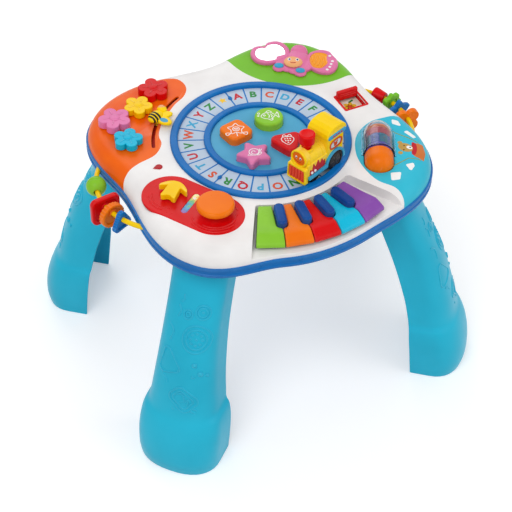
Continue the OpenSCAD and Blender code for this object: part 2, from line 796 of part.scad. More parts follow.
wing_pos = [[-42, 22], [38, 8]];
wing_line = [
  smooth([
    [-30, -3], [-27, 10], [-18.5, 15.5], [-10.5, 16.5], [-6, 26], [7, 31], [19, 26.5], [28, 14],
    [30.5, -1.5], [25, -12], [17, -18], [8, -24], [-4, -27.5], [-17.5, -24.5], [-26, -15.5]
  ]),
  smooth([
    [-22, 15], [-16, 24], [-3, 30], [10, 27], [16, 18], [23, 7], [25, -6], [20.5, -20], [11, -27.5],
    [-2, -27], [-13, -20], [-21, -8]
  ])
];
well_line = [
  0.77 * wing_line[0],
  smooth([[-19, 3], [-14.5, 17], [-4.5, 21.5], [7, 18], [6, 7], [9, -4], [2.5, -16.5], [-5.5, -19], [-14, -15]])
];
wing_t = 5;
well_depth = 1.5;

// Outline of a wing's rim or of the well inside it
module wing_area(i, lines, k = 1) {
  translate(wing_pos[i]) scale(k) polygon(lines[i]);
}

// Flat-topped bumps of the butterfly's body: [x, y, r, h]
body_bumps = [[-3, 3, 15.5, 9], [2, 29, 12, 9], [1, 15, 12, 8], [-26, -11, 9.5, 5], [7, -20, 9.5, 5]];

module butterfly() color(pink) in_butterfly() {
  difference() {
    union() {
      for (i = [0, 1]) linear_extrude(wing_t) wing_area(i, wing_line);
      linear_extrude(wing_t) polygon([[-34, -12], [-34, 16], [26, 14], [26, -8], [8, -25]]);
    }
    translate([0, 0, wing_t - well_depth]) for (i = [0, 1]) linear_extrude(wing_t) wing_area(i, well_line);
    for (b = body_bumps) translate([b[0], b[1], -1]) cylinder(r = b[2] - weld, h = far, $fn = 64);
  }
  for (b = body_bumps) translate([b[0], b[1], 0]) cylinder(r = b[2], h = b[3], $fn = 64);
}

module butterfly_mirror() color([0.9, 0.93, 0.95]) in_butterfly() {
  translate([0, 0, wing_t - well_depth]) linear_extrude(1.2) wing_area(0, well_line, 0.99);
}

module butterfly_insert() color([1.0, 0.66, 0.12]) in_butterfly() {
  translate([0, 0, wing_t - well_depth]) linear_extrude(2.6) wing_area(1, well_line, 0.99);
}

// ---- piano ----

pivot_r = 1.5;
pivot_z = deck_z - 9;
pivot_pos_r = key_rear_r + 6;
bed_z = ledge_z;
bed_t = 2;
key_top_z = deck_z + key_rise;
key_plate_z = deck_z - 2;
key_skirt_z = ledge_z + bed_t + 4.6;
sharp_mid_r = 171;
sharp_top_z = key_top_z + 7;

function key_dir(i) = piano_dir + (i - 2) * key_pitch;
function sharp_dir(i) = piano_dir + (i - 1.5) * key_pitch;

// The key's outline seen from above, with notches for the half-tone keys beside it
module key_area(i) {
  side = key_gap / 2 * 180 / PI / key_front_r;
  difference() {
    intersection() {
      sector(key_dir(i) - key_pitch / 2 + side, key_dir(i) + key_pitch / 2 - side, key_rear_r, far);
      circle(r = key_front_r, $fn = 128);
    }
    for (j = [0 : 3]) sharp_area(j, 0.9, 12);
  }
}

module sharp_area(j, grow, back = 0) {
  half = sharp_l / 2 - sharp_w / 2;
  stadium(polar(sharp_mid_r - half - back, sharp_dir(j)), polar(sharp_mid_r + half, sharp_dir(j)), sharp_w / 2 + grow);
}

module piano_key(i, tint) color(tint) difference() {
  union() {
    prism(key_plate_z, key_top_z - key_plate_z - 2) key_area(i);
    prism(key_top_z - 2, 2) intersection() {
      key_area(i);
      circle(r = key_front_r - 3, $fn = 128);
    }
    prism(key_skirt_z, key_plate_z - key_skirt_z) difference() {
      key_area(i);
      circle(r = key_front_r - 4, $fn = 128);
    }
    prism(pivot_z - 3, key_plate_z - pivot_z + 3) intersection() {
      key_area(i);
      rotate(key_dir(i)) translate([key_rear_r, -4]) square([10, 8]);
    }
  }
  pivot_cylinder(i, pivot_r + run_gap, far);
}

module pivot_cylinder(i, r, l) {
  rotate(key_dir(i)) translate([pivot_pos_r, 0, pivot_z]) rotate([90, 0, 0])
    cylinder(r = r, h = l, center = true, $fn = 32);
}

module key_bed() color(grey) {
  prism(bed_z, bed_t) intersection() {
    sector(recess_from + 1, recess_to - 5, recess_r + 2, far);
    circle(r = key_front_r - 6, $fn = 128);
  }
  for (i = [0 : 4]) {
    pivot_cylinder(i, pivot_r, 15);
    for (s = [-1, 1]) rotate(key_dir(i)) translate([pivot_pos_r - 2.5, s * 6.5 - 1.5, bed_z + bed_t - weld])
      cube([5, 3, pivot_z - bed_z - bed_t + 2.5 + weld]);
  }
}

module sharp_keys() color(blue) for (j = [0 : 3]) {
  prism(key_plate_z + 1, sharp_top_z - 2 - key_plate_z - 1) sharp_area(j, 0);
  prism(sharp_top_z - 2, 2) sharp_area(j, -1.6);
  rotate(sharp_dir(j)) translate([sharp_mid_r - 9, -2.5, bed_z + bed_t])
    cube([sharp_l / 2 + 5, 5, key_plate_z + 1 - bed_z - bed_t + weld]);
}

// ---- electronics ----

board_z = deck_z - 24;
board_t = 1.6;
board_posts = [[-40, -40], [40, -40], [-40, 40], [40, 40]];
speaker_pos = [-70, 96];
battery_x = 96;
battery_y = 40;
battery_w = 58;
battery_l = 62;
cell_r = 7.1;
cell_l = 50;

module main_board() color([0.08, 0.42, 0.22]) {
  prism(board_z, board_t) square([110, 110], center = true);
  translate([-8, 8, board_z + board_t]) cube([16, 16, 1.6]);
}

pad_r = 4;
button_pad_top = plunger_z - button_travel - 0.4;

module switch_pads() color([0.85, 0.85, 0.82]) {
  for (p = button_pos) translate([p[0], p[1], board_z + board_t])
    cylinder(r = pad_r, h = button_pad_top - board_z - board_t, $fn = 32);
  for (i = [0 : 4]) rotate(key_dir(i)) translate([key_front_r - 18, 0, bed_z + bed_t])
    cylinder(r = pad_r, h = key_plate_z - bed_z - bed_t - 2.6, $fn = 32);
}

module speaker() color(grey) translate([speaker_pos[0], speaker_pos[1], floor_z]) {
  cylinder(r1 = 28, r2 = 28, h = 3, $fn = 64);
  translate([0, 0, 3]) cylinder(r1 = 26, r2 = 14, h = 9, $fn = 64);
  translate([0, 0, 12]) cylinder(r = 14, h = 7, $fn = 64);
}

box_h = 19;

module battery_box() color(grey) difference() {
  translate([battery_x - battery_w / 2 - 3, battery_y - battery_l / 2 - 3, floor_z])
    cube([battery_w + 6, battery_l + 6, box_h + 2]);
  translate([battery_x - battery_w / 2, battery_y - battery_l / 2, floor_z - 1])
    cube([battery_w, battery_l, box_h + 1]);
}

module batteries() color([0.2, 0.2, 0.22]) for (i = [-1 : 1])
  translate([battery_x + i * (2 * cell_r + 2), battery_y - cell_l / 2, floor_z + cell_r + 0.1]) rotate([-90, 0, 0]) {
    cylinder(r = cell_r, h = cell_l - 1.5, $fn = 48);
    translate([0, 0, cell_l - 1.5]) cylinder(r = 2.6, h = 1.5, $fn = 32);
  }

module battery_door() color(blue) {
  translate([battery_x - battery_w / 2 + free, battery_y - battery_l / 2 + free, band_z])
    cube([battery_w - 2 * free, battery_l - 2 * free, wall]);
}

module screws() color([0.7, 0.7, 0.72]) for (p = post_pos)
  translate([p[0], p[1], band_z - 1.6]) {
    cylinder(r = 3.2, h = 1.6, $fn = 32);
    cylinder(r = screw_r, h = deck_z - band_z - 6, $fn = 32);
  }

// ---- train ----

wheel_w = 7;
wheel_out = 12.5;
rail_top = track_z + free;
rear_axle_z = rail_top + rear_wheel_r;
front_axle_z = rail_top + front_wheel_r;
body_floor = track_z + 12;
spine_top_z = rear_axle_z + axle_r + 2;
guard_z = deck_z + rim_rise + free;   // underside of the frame in front of the boiler
boiler_z = track_z + 37;
boiler_r = 15;
cab_back = -40;
cab_front = -5;
nose_x = 34;
eave_z = track_z + 61;
roof_z = track_z + 76;
chimney_x = 20;
chimney_travel = 3;
chimney_base = boiler_z + boiler_r;

// Train frame: X forwards, Y away from the table's centre
module on_track() {
  rotate(train_dir - 90) translate([0, train_r, 0]) children();
}

module wheel_pair(x, z, r) color([0.08, 0.08, 0.09]) on_track() translate([x, 0, z]) rotate([90, 0, 0]) {
  cylinder(r = axle_r, h = 2 * wheel_out, center = true, $fn = 32);
  for (s = [-1, 1]) translate([0, 0, s * (wheel_out - wheel_w / 2)]) cylinder(r = r, h = wheel_w, center = true, $fn = 64);
}

module wheel_room(x, z, r) {
  translate([x, 0, z]) rotate([90, 0, 0]) cylinder(r = r + 1.2, h = far, center = true, $fn = 64);
}

side_t = 3;

// Side view of the body with a rounded cab roof and a lower boiler
module body_side() {
  polygon(concat(
    [[cab_back, body_floor], [nose_x, body_floor], [nose_x, boiler_z], [cab_front, boiler_z]],
    [[cab_front, eave_z], [cab_front + 3, eave_z], [cab_front + 1, roof_z - 4]],
    [[cab_front - 8, roof_z], [cab_back + 6, roof_z - 1], [cab_back - 3, eave_z + 2], [cab_back - 3, eave_z], [cab_back, eave_z]]
  ));
}

module train_body() color(yellow) on_track() difference() {
  union() {
    rotate([90, 0, 0]) linear_extrude(cab_w - 4, center = true) body_side();
    translate([cab_front, 0, boiler_z]) rotate([0, 90, 0]) cylinder(r = boiler_r, h = nose_x - cab_front, $fn = 64);
    translate([cab_back - 2, -cab_w / 2, eave_z - 6]) cube([cab_front - cab_back + 4, cab_w, 5]);
  }
  difference() {
    union() {
      wheel_room(-rear_axle_x, rear_axle_z, rear_wheel_r);
      wheel_room(front_axle_x, front_axle_z, front_wheel_r);
    }
    translate([-big / 2, -4, 0]) cube([big, 8, big]);
  }
  translate([cab_back - 5, -4.3, track_z]) cube([big, 8.6, spine_top_z + free - track_z]);
  translate([chimney_x, 0, chimney_base - 8 - chimney_travel - free]) cylinder(r = 6 + free, h = far, $fn = 48);
}

module train_chassis() color(cyan) on_track() {
  difference() {
    union() {
      translate([cab_back + 2, -4, track_z + 5]) cube([nose_x - cab_back - 2 + weld, 8, spine_top_z - track_z - 5]);
      translate([nose_x, -17, guard_z]) cube([8, 34, boiler_z - 5 - guard_z]);
    }
    for (a = [[-rear_axle_x, rear_axle_z], [front_axle_x, front_axle_z]]) translate([a[0], 0, a[1]])
      rotate([90, 0, 0]) cylinder(r = axle_r + run_gap, h = far, center = true, $fn = 32);
  }
  for (s = [-1, 1]) difference() {
    union() {
      intersection() {
        translate([-rear_axle_x, s * (cab_w / 2 - 0.8), rear_axle_z]) rotate([90, 0, 0])
          cylinder(r = rear_wheel_r + 4.5, h = 2.4, center = true, $fn = 64);
        translate([-big / 2, -big / 2, body_floor]) cube([big, big, big]);
      }
      translate([-8, s * (cab_w / 2 - 0.8) - 1.2, body_floor + 0.5]) cube([nose_x + 8, 2.4, 4]);
    }
    wheel_room(-rear_axle_x, rear_axle_z, rear_wheel_r);
  }
}

module train_chimney() color(red) on_track() translate([chimney_x, 0, 0]) {
  translate([0, 0, chimney_base - 8]) cylinder(r = 6, h = 18, $fn = 48);
  translate([0, 0, chimney_base + 10]) cylinder(r1 = 8.5, r2 = 11, h = 5, $fn = 64);
  translate([0, 0, chimney_base + 15]) cylinder(r1 = 11, r2 = 10, h = 11, $fn = 64);
}

// ---- drawing ----

top_shell();
bottom_shell();
orange_panel();
red_panel();
green_panel();
cyan_panel();
track_tray();
letter_ring();
centre_plate();
legs();
rail(-1);  // left_rail
rail(1);  // right_rail
butterfly();
butterfly_mirror();
butterfly_insert();
roller_dome();
lenses();
picture_tray();
picture_card();
key_bed();
sharp_keys();
switch_pads();
main_board();
speaker();
battery_box();
batteries();
battery_door();
screws();
train_body();
train_chassis();
train_chimney();
wheel_pair(front_axle_x, front_axle_z, front_wheel_r);  // front_wheels
wheel_pair(-rear_axle_x, rear_axle_z, rear_wheel_r);  // rear_wheels
shape_button(0, green);  // green_button
shape_button(1, orange);  // orange_button
shape_button(2, pink);  // pink_button
shape_button(3, red);  // red_button
piano_key(0, green);  // green_key
piano_key(1, orange);  // orange_key
piano_key(2, red);  // red_key
piano_key(3, cyan);  // cyan_key
piano_key(4, purple);  // purple_key
flower(0, red);  // red_flower
flower(1, yellow);  // yellow_flower
flower(2, pink);  // pink_flower
flower(3, cyan);  // cyan_flower
bee();
arrow_knob();
dial();
colour_wheel();
roller();
picture_door();
green_ball();
red_ring();
orange_ring();
blue_ring();
red_cone();
green_wave();
blue_star();
orange_clover();
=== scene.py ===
"""Musical activity table: the moulded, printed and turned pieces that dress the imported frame."""
import math

import bmesh
import bpy
from mathutils import Euler, Matrix, Vector


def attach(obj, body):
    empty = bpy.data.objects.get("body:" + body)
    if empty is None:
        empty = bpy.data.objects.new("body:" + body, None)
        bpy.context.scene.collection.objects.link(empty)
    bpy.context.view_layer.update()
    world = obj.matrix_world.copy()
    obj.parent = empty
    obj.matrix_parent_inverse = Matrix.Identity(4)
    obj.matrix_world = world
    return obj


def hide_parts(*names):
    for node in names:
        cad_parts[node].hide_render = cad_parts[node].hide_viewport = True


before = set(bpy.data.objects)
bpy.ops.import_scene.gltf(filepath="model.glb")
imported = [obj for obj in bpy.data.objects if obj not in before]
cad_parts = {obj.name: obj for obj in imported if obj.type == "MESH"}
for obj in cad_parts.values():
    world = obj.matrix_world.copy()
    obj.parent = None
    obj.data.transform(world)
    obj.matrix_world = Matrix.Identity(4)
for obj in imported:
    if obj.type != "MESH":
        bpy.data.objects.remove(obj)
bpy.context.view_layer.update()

MM = 0.001                      # every length below is in millimetres

# ---- sizes of the table ----

WALL = 3.0
EDGE_H = 22.0
EDGE_W = 26.0
EDGE_Z = 350.0
BAND_Z = 334.0
FLOOR_Z = 337.0
OUTLINE_STOPS = [(8, 210), (50, 258), (90, 202), (143, 257), (182, 215), (225, 257), (252, 227), (285, 224),
                 (322, 249), (368, 210)]
TRACK_R = 130.0
RIM_W = 11.0
INNER_RIM_R = 82.0
INNER_RIM_W = 10.0
RING_TOP = 371.0
CELLS = 27

# ---- plan shapes ----


def cosd(a):
    return math.cos(math.radians(a))


def sind(a):
    return math.sin(math.radians(a))


def polar(r, a, centre=(0, 0)):
    return (centre[0] + r * cosd(a), centre[1] + r * sind(a))


def ring(r, steps=48, centre=(0, 0), start=0.0):
    return [polar(r, start + 360 * k / steps, centre) for k in range(steps)]


def ellipse(a, b, steps, x=0.0):
    return [(x + a * cosd(360 * k / steps), b * sind(360 * k / steps)) for k in range(steps)]


def table_radius(a):
    a = a + 360 if a < OUTLINE_STOPS[0][0] else a
    for (a0, r0), (a1, r1) in zip(OUTLINE_STOPS, OUTLINE_STOPS[1:]):
        if a <= a1:
            return r0 + (r1 - r0) * (1 - math.cos(math.pi * (a - a0) / (a1 - a0))) / 2
    return OUTLINE_STOPS[0][1]


def table_outline(inset, z):
    return [(*polar(table_radius(a) - inset, a), z) for a in range(0, 360, 2)]


def smooth_line(points, steps=5, closed=True):
    """Catmull-Rom line through the points."""
    out, n = [], len(points)
    for i in range(n if closed else n - 1):
        a, b, c, d = (Vector(points[j % n]) if closed else Vector(points[min(max(j, 0), n - 1)])
                      for j in (i - 1, i, i + 1, i + 2))
        for k in range(steps):
            t = k / steps
            out.append(tuple(0.5 * (2 * b + (c - a) * t + (2 * a - 5 * b + 4 * c - d) * t * t
                                    + (3 * b - a - 3 * c + d) * t ** 3)))
    if not closed:
        out.append(tuple(points[-1]))
    return out


def rounded(points, r, steps=5):
    """Corners of a polygon rounded with radius r."""
    out, n = [], len(points)
    for i in range(n):
        b = Vector(points[i])
        u, v = (Vector(points[i - 1]) - b).normalized(), (Vector(points[(i + 1) % n]) - b).normalized()
        half = math.acos(max(-1, min(1, u.dot(v)))) / 2
        middle = b + (u + v).normalized() * r / math.sin(half)
        s, e = b + u * r / math.tan(half) - middle, b + v * r / math.tan(half) - middle
        start = math.degrees(math.atan2(s.y, s.x))
        sweep = (math.degrees(math.atan2(e.y, e.x)) - start + 180) % 360 - 180
        out += [polar(r, start + sweep * k / steps, middle) for k in range(steps + 1)]
    return out


def box_area(x0, y0, x1, y1, r=1.0, steps=4):
    return rounded([(x0, y0), (x1, y0), (x1, y1), (x0, y1)], r, steps)


def stadium(p, q, r, steps=16):
    heading = math.degrees(math.atan2(q[1] - p[1], q[0] - p[0]))
    return [polar(r, heading + turn + 180 * k / steps, end)
            for end, turn in ((q, -90), (p, 90)) for k in range(steps + 1)]


def star_points(n, outer, inner, start=0.0):
    return [polar(inner if i % 2 else outer, start + 180 * i / n) for i in range(2 * n)]


def scaled(points, k):
    return [(x * k, y * k) for x, y in points]


def moved(points, at=(0, 0), turn=0.0):
    c, s = cosd(turn), sind(turn)
    return [(at[0] + x * c - y * s, at[1] + x * s + y * c) for x, y in points]


# ---- work at the bench ----


def hold(obj):
    bpy.ops.object.select_all(action="DESELECT")
    obj.select_set(True)
    bpy.context.view_layer.objects.active = obj


def named(name, obj=None):
    """Names the newest object, or the one given, and its mesh."""
    obj = obj or bpy.context.object
    obj.name = obj.data.name = name
    return obj


def started(name, add, **settings):
    """Blank that a piece is worked from."""
    bpy.ops.object.select_all(action="DESELECT")
    add(**settings)
    return named(name)


def open_up(obj, kind="FACE"):
    hold(obj)
    bpy.ops.object.mode_set(mode="EDIT")
    bpy.ops.mesh.select_mode(type=kind)


def close_up():
    bpy.ops.object.mode_set(mode="OBJECT")


def pick(obj, kind, wanted):
    """Selects the vertices, edges or faces whose corner points pass the test."""
    bpy.ops.mesh.select_mode(type=kind)
    bpy.ops.mesh.select_all(action="DESELECT")
    mesh = bmesh.from_edit_mesh(obj.data)
    mesh.normal_update()
    for part in {"VERT": mesh.verts, "EDGE": mesh.edges, "FACE": mesh.faces}[kind]:
        corners = [part] if kind == "VERT" else part.verts
        if wanted([v.co / MM for v in corners], part):
            part.select_set(True)
    mesh.select_flush_mode()
    bmesh.update_edit_mesh(obj.data)


def at_height(z):
    return lambda points, part: all(abs(p.z - z) < 0.02 for p in points)


def outwards():
    bpy.ops.mesh.select_all(action="SELECT")
    bpy.ops.mesh.normals_make_consistent(inside=False)


def faced_out(obj):
    open_up(obj)
    outwards()
    close_up()
    return obj


def built_up(name, rings):
    """Solid through rings of points: each ring is the last face extruded and set out anew."""
    obj = started(name, bpy.ops.mesh.primitive_circle_add, vertices=len(rings[0]), radius=MM, fill_type="NGON")
    open_up(obj)
    bpy.ops.mesh.select_all(action="SELECT")
    mesh = bmesh.from_edit_mesh(obj.data)
    spots = {}
    for i, vert in enumerate(mesh.verts):
        vert.co = Vector(rings[0][i]) * MM
        spots[tuple(vert.co)] = i
    bmesh.update_edit_mesh(obj.data)
    for line in rings[1:]:
        bpy.ops.mesh.extrude_region_move()
        mesh = bmesh.from_edit_mesh(obj.data)
        last, spots = spots, {}
        for vert in [v for v in mesh.verts if v.select]:
            i = last[tuple(vert.co)]
            vert.co = Vector(line[i]) * MM
            spots[tuple(vert.co)] = i
        bmesh.update_edit_mesh(obj.data)
    outwards()
    close_up()
    return obj


def bevelled(width, steps):
    """Rounds the edges that are selected."""
    bpy.ops.mesh.bevel(offset=width * MM, offset_type="OFFSET", segments=steps, affect="EDGES", clamp_overlap=True)


def soften(obj, wanted, width, steps=3):
    """Rounds the edges that pass the test."""
    open_up(obj, "EDGE")
    pick(obj, "EDGE", wanted)
    bevelled(width, steps)
    close_up()
    return obj


def plate(name, outline, low, high, edge=0.8, steps=3, foot=0.0):
    """Flat moulding on an outline, with a rounded upper rim."""
    obj = built_up(name, [[(x, y, z) for x, y in outline] for z in (low, high)])
    if edge:
        soften(obj, at_height(high), edge, steps)
    if foot:
        soften(obj, at_height(low), foot, steps)
    return obj


def cutter(outline, low, high):
    return plate("cutter", outline, low, high, edge=0)


def turned(name, profile, steps=64):
    """Piece turned round the Z axis from its half outline of (radius, height)."""
    obj = started(name, bpy.ops.mesh.primitive_circle_add, vertices=len(profile), radius=MM, fill_type="NOTHING")
    open_up(obj, "VERT")
    mesh = bmesh.from_edit_mesh(obj.data)
    for vert, (r, z) in zip(mesh.verts, profile):
        vert.co = Vector((r, 0, z)) * MM
    bmesh.update_edit_mesh(obj.data)
    bpy.ops.mesh.select_all(action="SELECT")
    bpy.ops.mesh.spin(steps=steps, angle=2 * math.pi, center=(0, 0, 0), axis=(0, 0, 1))
    bpy.ops.mesh.select_all(action="SELECT")
    bpy.ops.mesh.remove_doubles(threshold=2e-6)
    pick(obj, "EDGE", lambda points, part: all(abs(p.x) + abs(p.y) < 0.003 for p in points))
    bpy.ops.mesh.delete(type="EDGE")
    outwards()
    close_up()
    return obj


def bent_round(r, z, radius, a0, a1, steps=4):
    """Arc of a half outline, for the rounded rims of turned pieces."""
    return [polar(radius, a0 + (a1 - a0) * k / steps, (r, z)) for k in range(steps + 1)]


def as_mesh(name, curve):
    """Mesh of a rod or a letter."""
    obj = bpy.data.objects.new(name, curve)
    bpy.context.scene.collection.objects.link(obj)
    hold(obj)
    bpy.ops.object.convert(target="MESH")
    return named(name)


def wire(name, points, radius, closed=False, sides=4):
    """Round rod along a line of points."""
    curve = bpy.data.curves.new(name, "CURVE")
    curve.dimensions = "3D"
    curve.bevel_depth = radius * MM
    curve.bevel_resolution = sides
    curve.use_fill_caps = True
    line = curve.splines.new("POLY")
    line.points.add(len(points) - 1)
    for spot, p in zip(line.points, points):
        spot.co = (p[0] * MM, p[1] * MM, p[2] * MM, 1)
    line.use_cyclic_u = closed
    return faced_out(as_mesh(name, curve))


def place(obj, at=(0, 0, 0), turn=(0, 0, 0), size=(1, 1, 1), inside=None):
    """Sets a piece in its place and leaves that place in its mesh."""
    here = Matrix.LocRotScale(Vector(at) * MM, Euler([math.radians(t) for t in turn]), Vector(size))
    obj.matrix_world = (inside or Matrix.Identity(4)) @ here
    hold(obj)
    bpy.ops.object.transform_apply(location=True, rotation=True, scale=True)
    return obj


def copied(obj, name=None):
    new = obj.copy()
    new.data = obj.data.copy()
    bpy.context.scene.collection.objects.link(new)
    return named(name or obj.name, new)


def joined(name, parts):
    bpy.ops.object.select_all(action="DESELECT")
    for part in parts:
        part.select_set(True)
    bpy.context.view_layer.objects.active = parts[0]
    if len(parts) > 1:
        bpy.ops.object.join()
    return named(name, bpy.context.view_layer.objects.active)


def apply(obj, kind, **settings):
    hold(obj)
    step = obj.modifiers.new(kind.lower(), kind)
    for key, value in settings.items():
        setattr(step, key, value)
    bpy.ops.object.modifier_apply(modifier=step.name)
    return obj


def carve(obj, tool, way="DIFFERENCE"):
    apply(obj, "BOOLEAN", operation=way, solver="EXACT", object=tool)
    bpy.data.objects.remove(tool)
    return obj


def eased(obj, width, steps=2, angle=40):
    """Rounds every edge that is sharper than the angle."""
    return apply(obj, "BEVEL", width=width * MM, segments=steps, limit_method="ANGLE",
                 angle_limit=math.radians(angle), use_clamp_overlap=True)


def melted(name, parts, grain, passes):
    """Parts run into each other as one soft moulding."""
    obj = joined(name, parts)
    apply(obj, "REMESH", mode="VOXEL", voxel_size=grain * MM, use_smooth_shade=True)
    return apply(obj, "SMOOTH", factor=0.5, iterations=passes)


def ball(name, radius, at=(0, 0, 0), size=(1, 1, 1), steps=24):
    obj = started(name, bpy.ops.mesh.primitive_uv_sphere_add, segments=steps, ring_count=steps // 2,
                  radius=radius * MM)
    return place(obj, at, size=size)


def block(name, low, high, edge=1.0, steps=3):
    """Block with all its edges rounded."""
    obj = started(name, bpy.ops.mesh.primitive_cube_add, size=MM)
    place(obj, [(a + b) / 2 for a, b in zip(low, high)], size=[b - a for a, b in zip(low, high)])
    open_up(obj, "EDGE")
    bpy.ops.mesh.select_all(action="SELECT")
    bevelled(edge, steps)
    close_up()
    return obj


def fit(obj, body, finish, nodes=(), smooth=35, flat=True):
    """Shades a finished piece, gives it its finish and hangs it on its body."""
    hold(obj)
    bpy.ops.object.shade_smooth_by_angle(angle=math.radians(smooth))
    if flat:
        apply(obj, "WEIGHTED_NORMAL", keep_sharp=True)
    if finish is not None:
        obj.data.materials.clear()
        obj.data.materials.append(finish)
    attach(obj, body)
    if nodes:
        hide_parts(*nodes)
    return obj


# ---- finishes ----

COLOUR, NUMBER = "NodeSocketColor", "NodeSocketFloat"


def tone(code):
    """Colour from its six-figure code."""
    parts = [int(code[i:i + 2], 16) / 255 for i in (0, 2, 4)]
    return tuple(c / 12.92 if c <= 0.04045 else ((c + 0.055) / 1.055) ** 2.4 for c in parts) + (1.0,)


def new_group(name, inputs, outputs):
    group = bpy.data.node_groups.new(name, "ShaderNodeTree")
    for label, kind, value in inputs:
        socket = group.interface.new_socket(name=label, in_out="INPUT", socket_type=kind)
        socket.default_value = value
    for label, kind in outputs:
        group.interface.new_socket(name=label, in_out="OUTPUT", socket_type=kind)
    return group, group.nodes.new("NodeGroupInput").outputs, group.nodes.new("NodeGroupOutput")


def add_node(tree, kind, inputs=(), **values):
    """Adds a node: properties or inputs by name, then inputs as pairs with a source or a value."""
    node = tree.nodes.new(kind)
    for key, value in values.items():
        if hasattr(node, key):
            setattr(node, key, value)
        else:
            node.inputs[key.replace("_", " ")].default_value = value
    for socket, source in inputs:
        if isinstance(source, bpy.types.NodeSocket):
            tree.links.new(source, node.inputs[socket])
        else:
            node.inputs[socket].default_value = source
    return node


def feed(tree, node, *pairs):
    for label, source in pairs:
        tree.links.new(source, node.inputs[label])


def spot_on(tree):
    return add_node(tree, "ShaderNodeTexCoord").outputs["Object"]


def noise(tree, where, scale, detail=2.0):
    return add_node(tree, "ShaderNodeTexNoise", [("Vector", where), ("Scale", scale)], Detail=detail).outputs["Fac"]


def span(tree, source, **ends):
    return add_node(tree, "ShaderNodeMapRange", [("Value", source)], **ends).outputs["Result"]


def blend(tree, share, a, b):
    return add_node(tree, "ShaderNodeMix", [(0, share), (6, a), (7, b)], data_type="RGBA").outputs[2]


def sums(tree, operation, *values, clamp=False):
    return add_node(tree, "ShaderNodeMath", enumerate(values), operation=operation, use_clamp=clamp).outputs[0]


def dress(tree, colour, gloss, height, strength, depth, **shader):
    """Feeds colour, gloss and bump to the surface of a finish and sets its even values."""
    surface = tree.nodes["Principled BSDF"]
    bump = add_node(tree, "ShaderNodeBump", [("Height", height)], Strength=strength, Distance=depth)
    feed(tree, surface, ("Base Color", colour), ("Roughness", gloss), ("Normal", bump.outputs["Normal"]))
    for key, value in shader.items():
        surface.inputs[key.replace("_", " ")].default_value = value


def new_finish(name):
    finish = bpy.data.materials.new(name)
    finish.use_nodes = True
    return finish, finish.node_tree


def moulded_group():
    """Slight unevenness of a moulded plastic face: colour, gloss and orange-peel height."""
    group, given, out = new_group("moulded face", [
        ("Tint", COLOUR, (1, 1, 1, 1)), ("Shade", COLOUR, (0.9, 0.9, 0.9, 1)), ("Gloss", NUMBER, 0.35),
        ("Cloud Size", NUMBER, 16.0), ("Peel Size", NUMBER, 520.0)],
        [("Color", COLOUR), ("Roughness", NUMBER), ("Height", NUMBER)])
    where = spot_on(group)
    clouds = span(group, noise(group, where, given["Cloud Size"], 3.0), From_Min=0.35, From_Max=0.7)
    wipes = span(group, noise(group, where, 60.0, 4.0), To_Min=-0.09, To_Max=0.09)
    feed(group, out, ("Color", blend(group, clouds, given["Tint"], given["Shade"])),
         ("Roughness", sums(group, "ADD", given["Gloss"], wipes, clamp=True)),
         ("Height", noise(group, where, given["Peel Size"])))
    return group


def rubbed_group():
    """Edges that hands have rubbed paler and smoother."""
    group, given, out = new_group("rubbed edges", [
        ("Color", COLOUR, (1, 1, 1, 1)), ("Roughness", NUMBER, 0.35), ("Rub", NUMBER, 0.25)],
        [("Color", COLOUR), ("Roughness", NUMBER)])
    edge = span(group, add_node(group, "ShaderNodeNewGeometry").outputs["Pointiness"], From_Min=0.53, From_Max=0.6)
    worn = sums(group, "MULTIPLY", edge, noise(group, spot_on(group), 90.0, 3.0))
    amount = sums(group, "MULTIPLY", worn, given["Rub"], clamp=True)
    feed(group, out, ("Color", blend(group, amount, given["Color"], (0.95, 0.95, 0.95, 1))),
         ("Roughness", sums(group, "SUBTRACT", given["Roughness"], amount, clamp=True)))
    return group


GLINT = 0.15
MOULDED = moulded_group()
RUBBED = rubbed_group()


def plastic(name, tint, shade, gloss=0.32, rub=0.12, peel=0.04, cloud=16.0):
    """Moulded plastic: uneven tint and gloss, orange-peel bump and rubbed edges."""
    finish, tree = new_finish(name)
    face = add_node(tree, "ShaderNodeGroup", node_tree=MOULDED, Tint=tone(tint), Shade=tone(shade), Gloss=gloss,
                    Cloud_Size=cloud).outputs
    worn = add_node(tree, "ShaderNodeGroup", [("Color", face["Color"]), ("Roughness", face["Roughness"])],
                    node_tree=RUBBED, Rub=rub).outputs
    dress(tree, worn["Color"], worn["Roughness"], face["Height"], peel, 0.0006, Specular_IOR_Level=GLINT)
    finish.diffuse_color = tone(tint)
    return finish


def ink(name, tint, shade, gloss=0.36):
    """Printed colour, which hands don't rub off."""
    return plastic(name, tint, shade, gloss, rub=0.0, peel=0.03)


def speckled(name, scale, detail, tints, glosses, bump, depth, **shader):
    """Finish with one noise behind its colour, gloss and bump."""
    finish, tree = new_finish(name)
    marks = noise(tree, spot_on(tree), scale, detail)
    dress(tree, blend(tree, marks, *tints), span(tree, marks, To_Min=glosses[0], To_Max=glosses[1]), marks, bump,
          depth, **shader)
    return finish


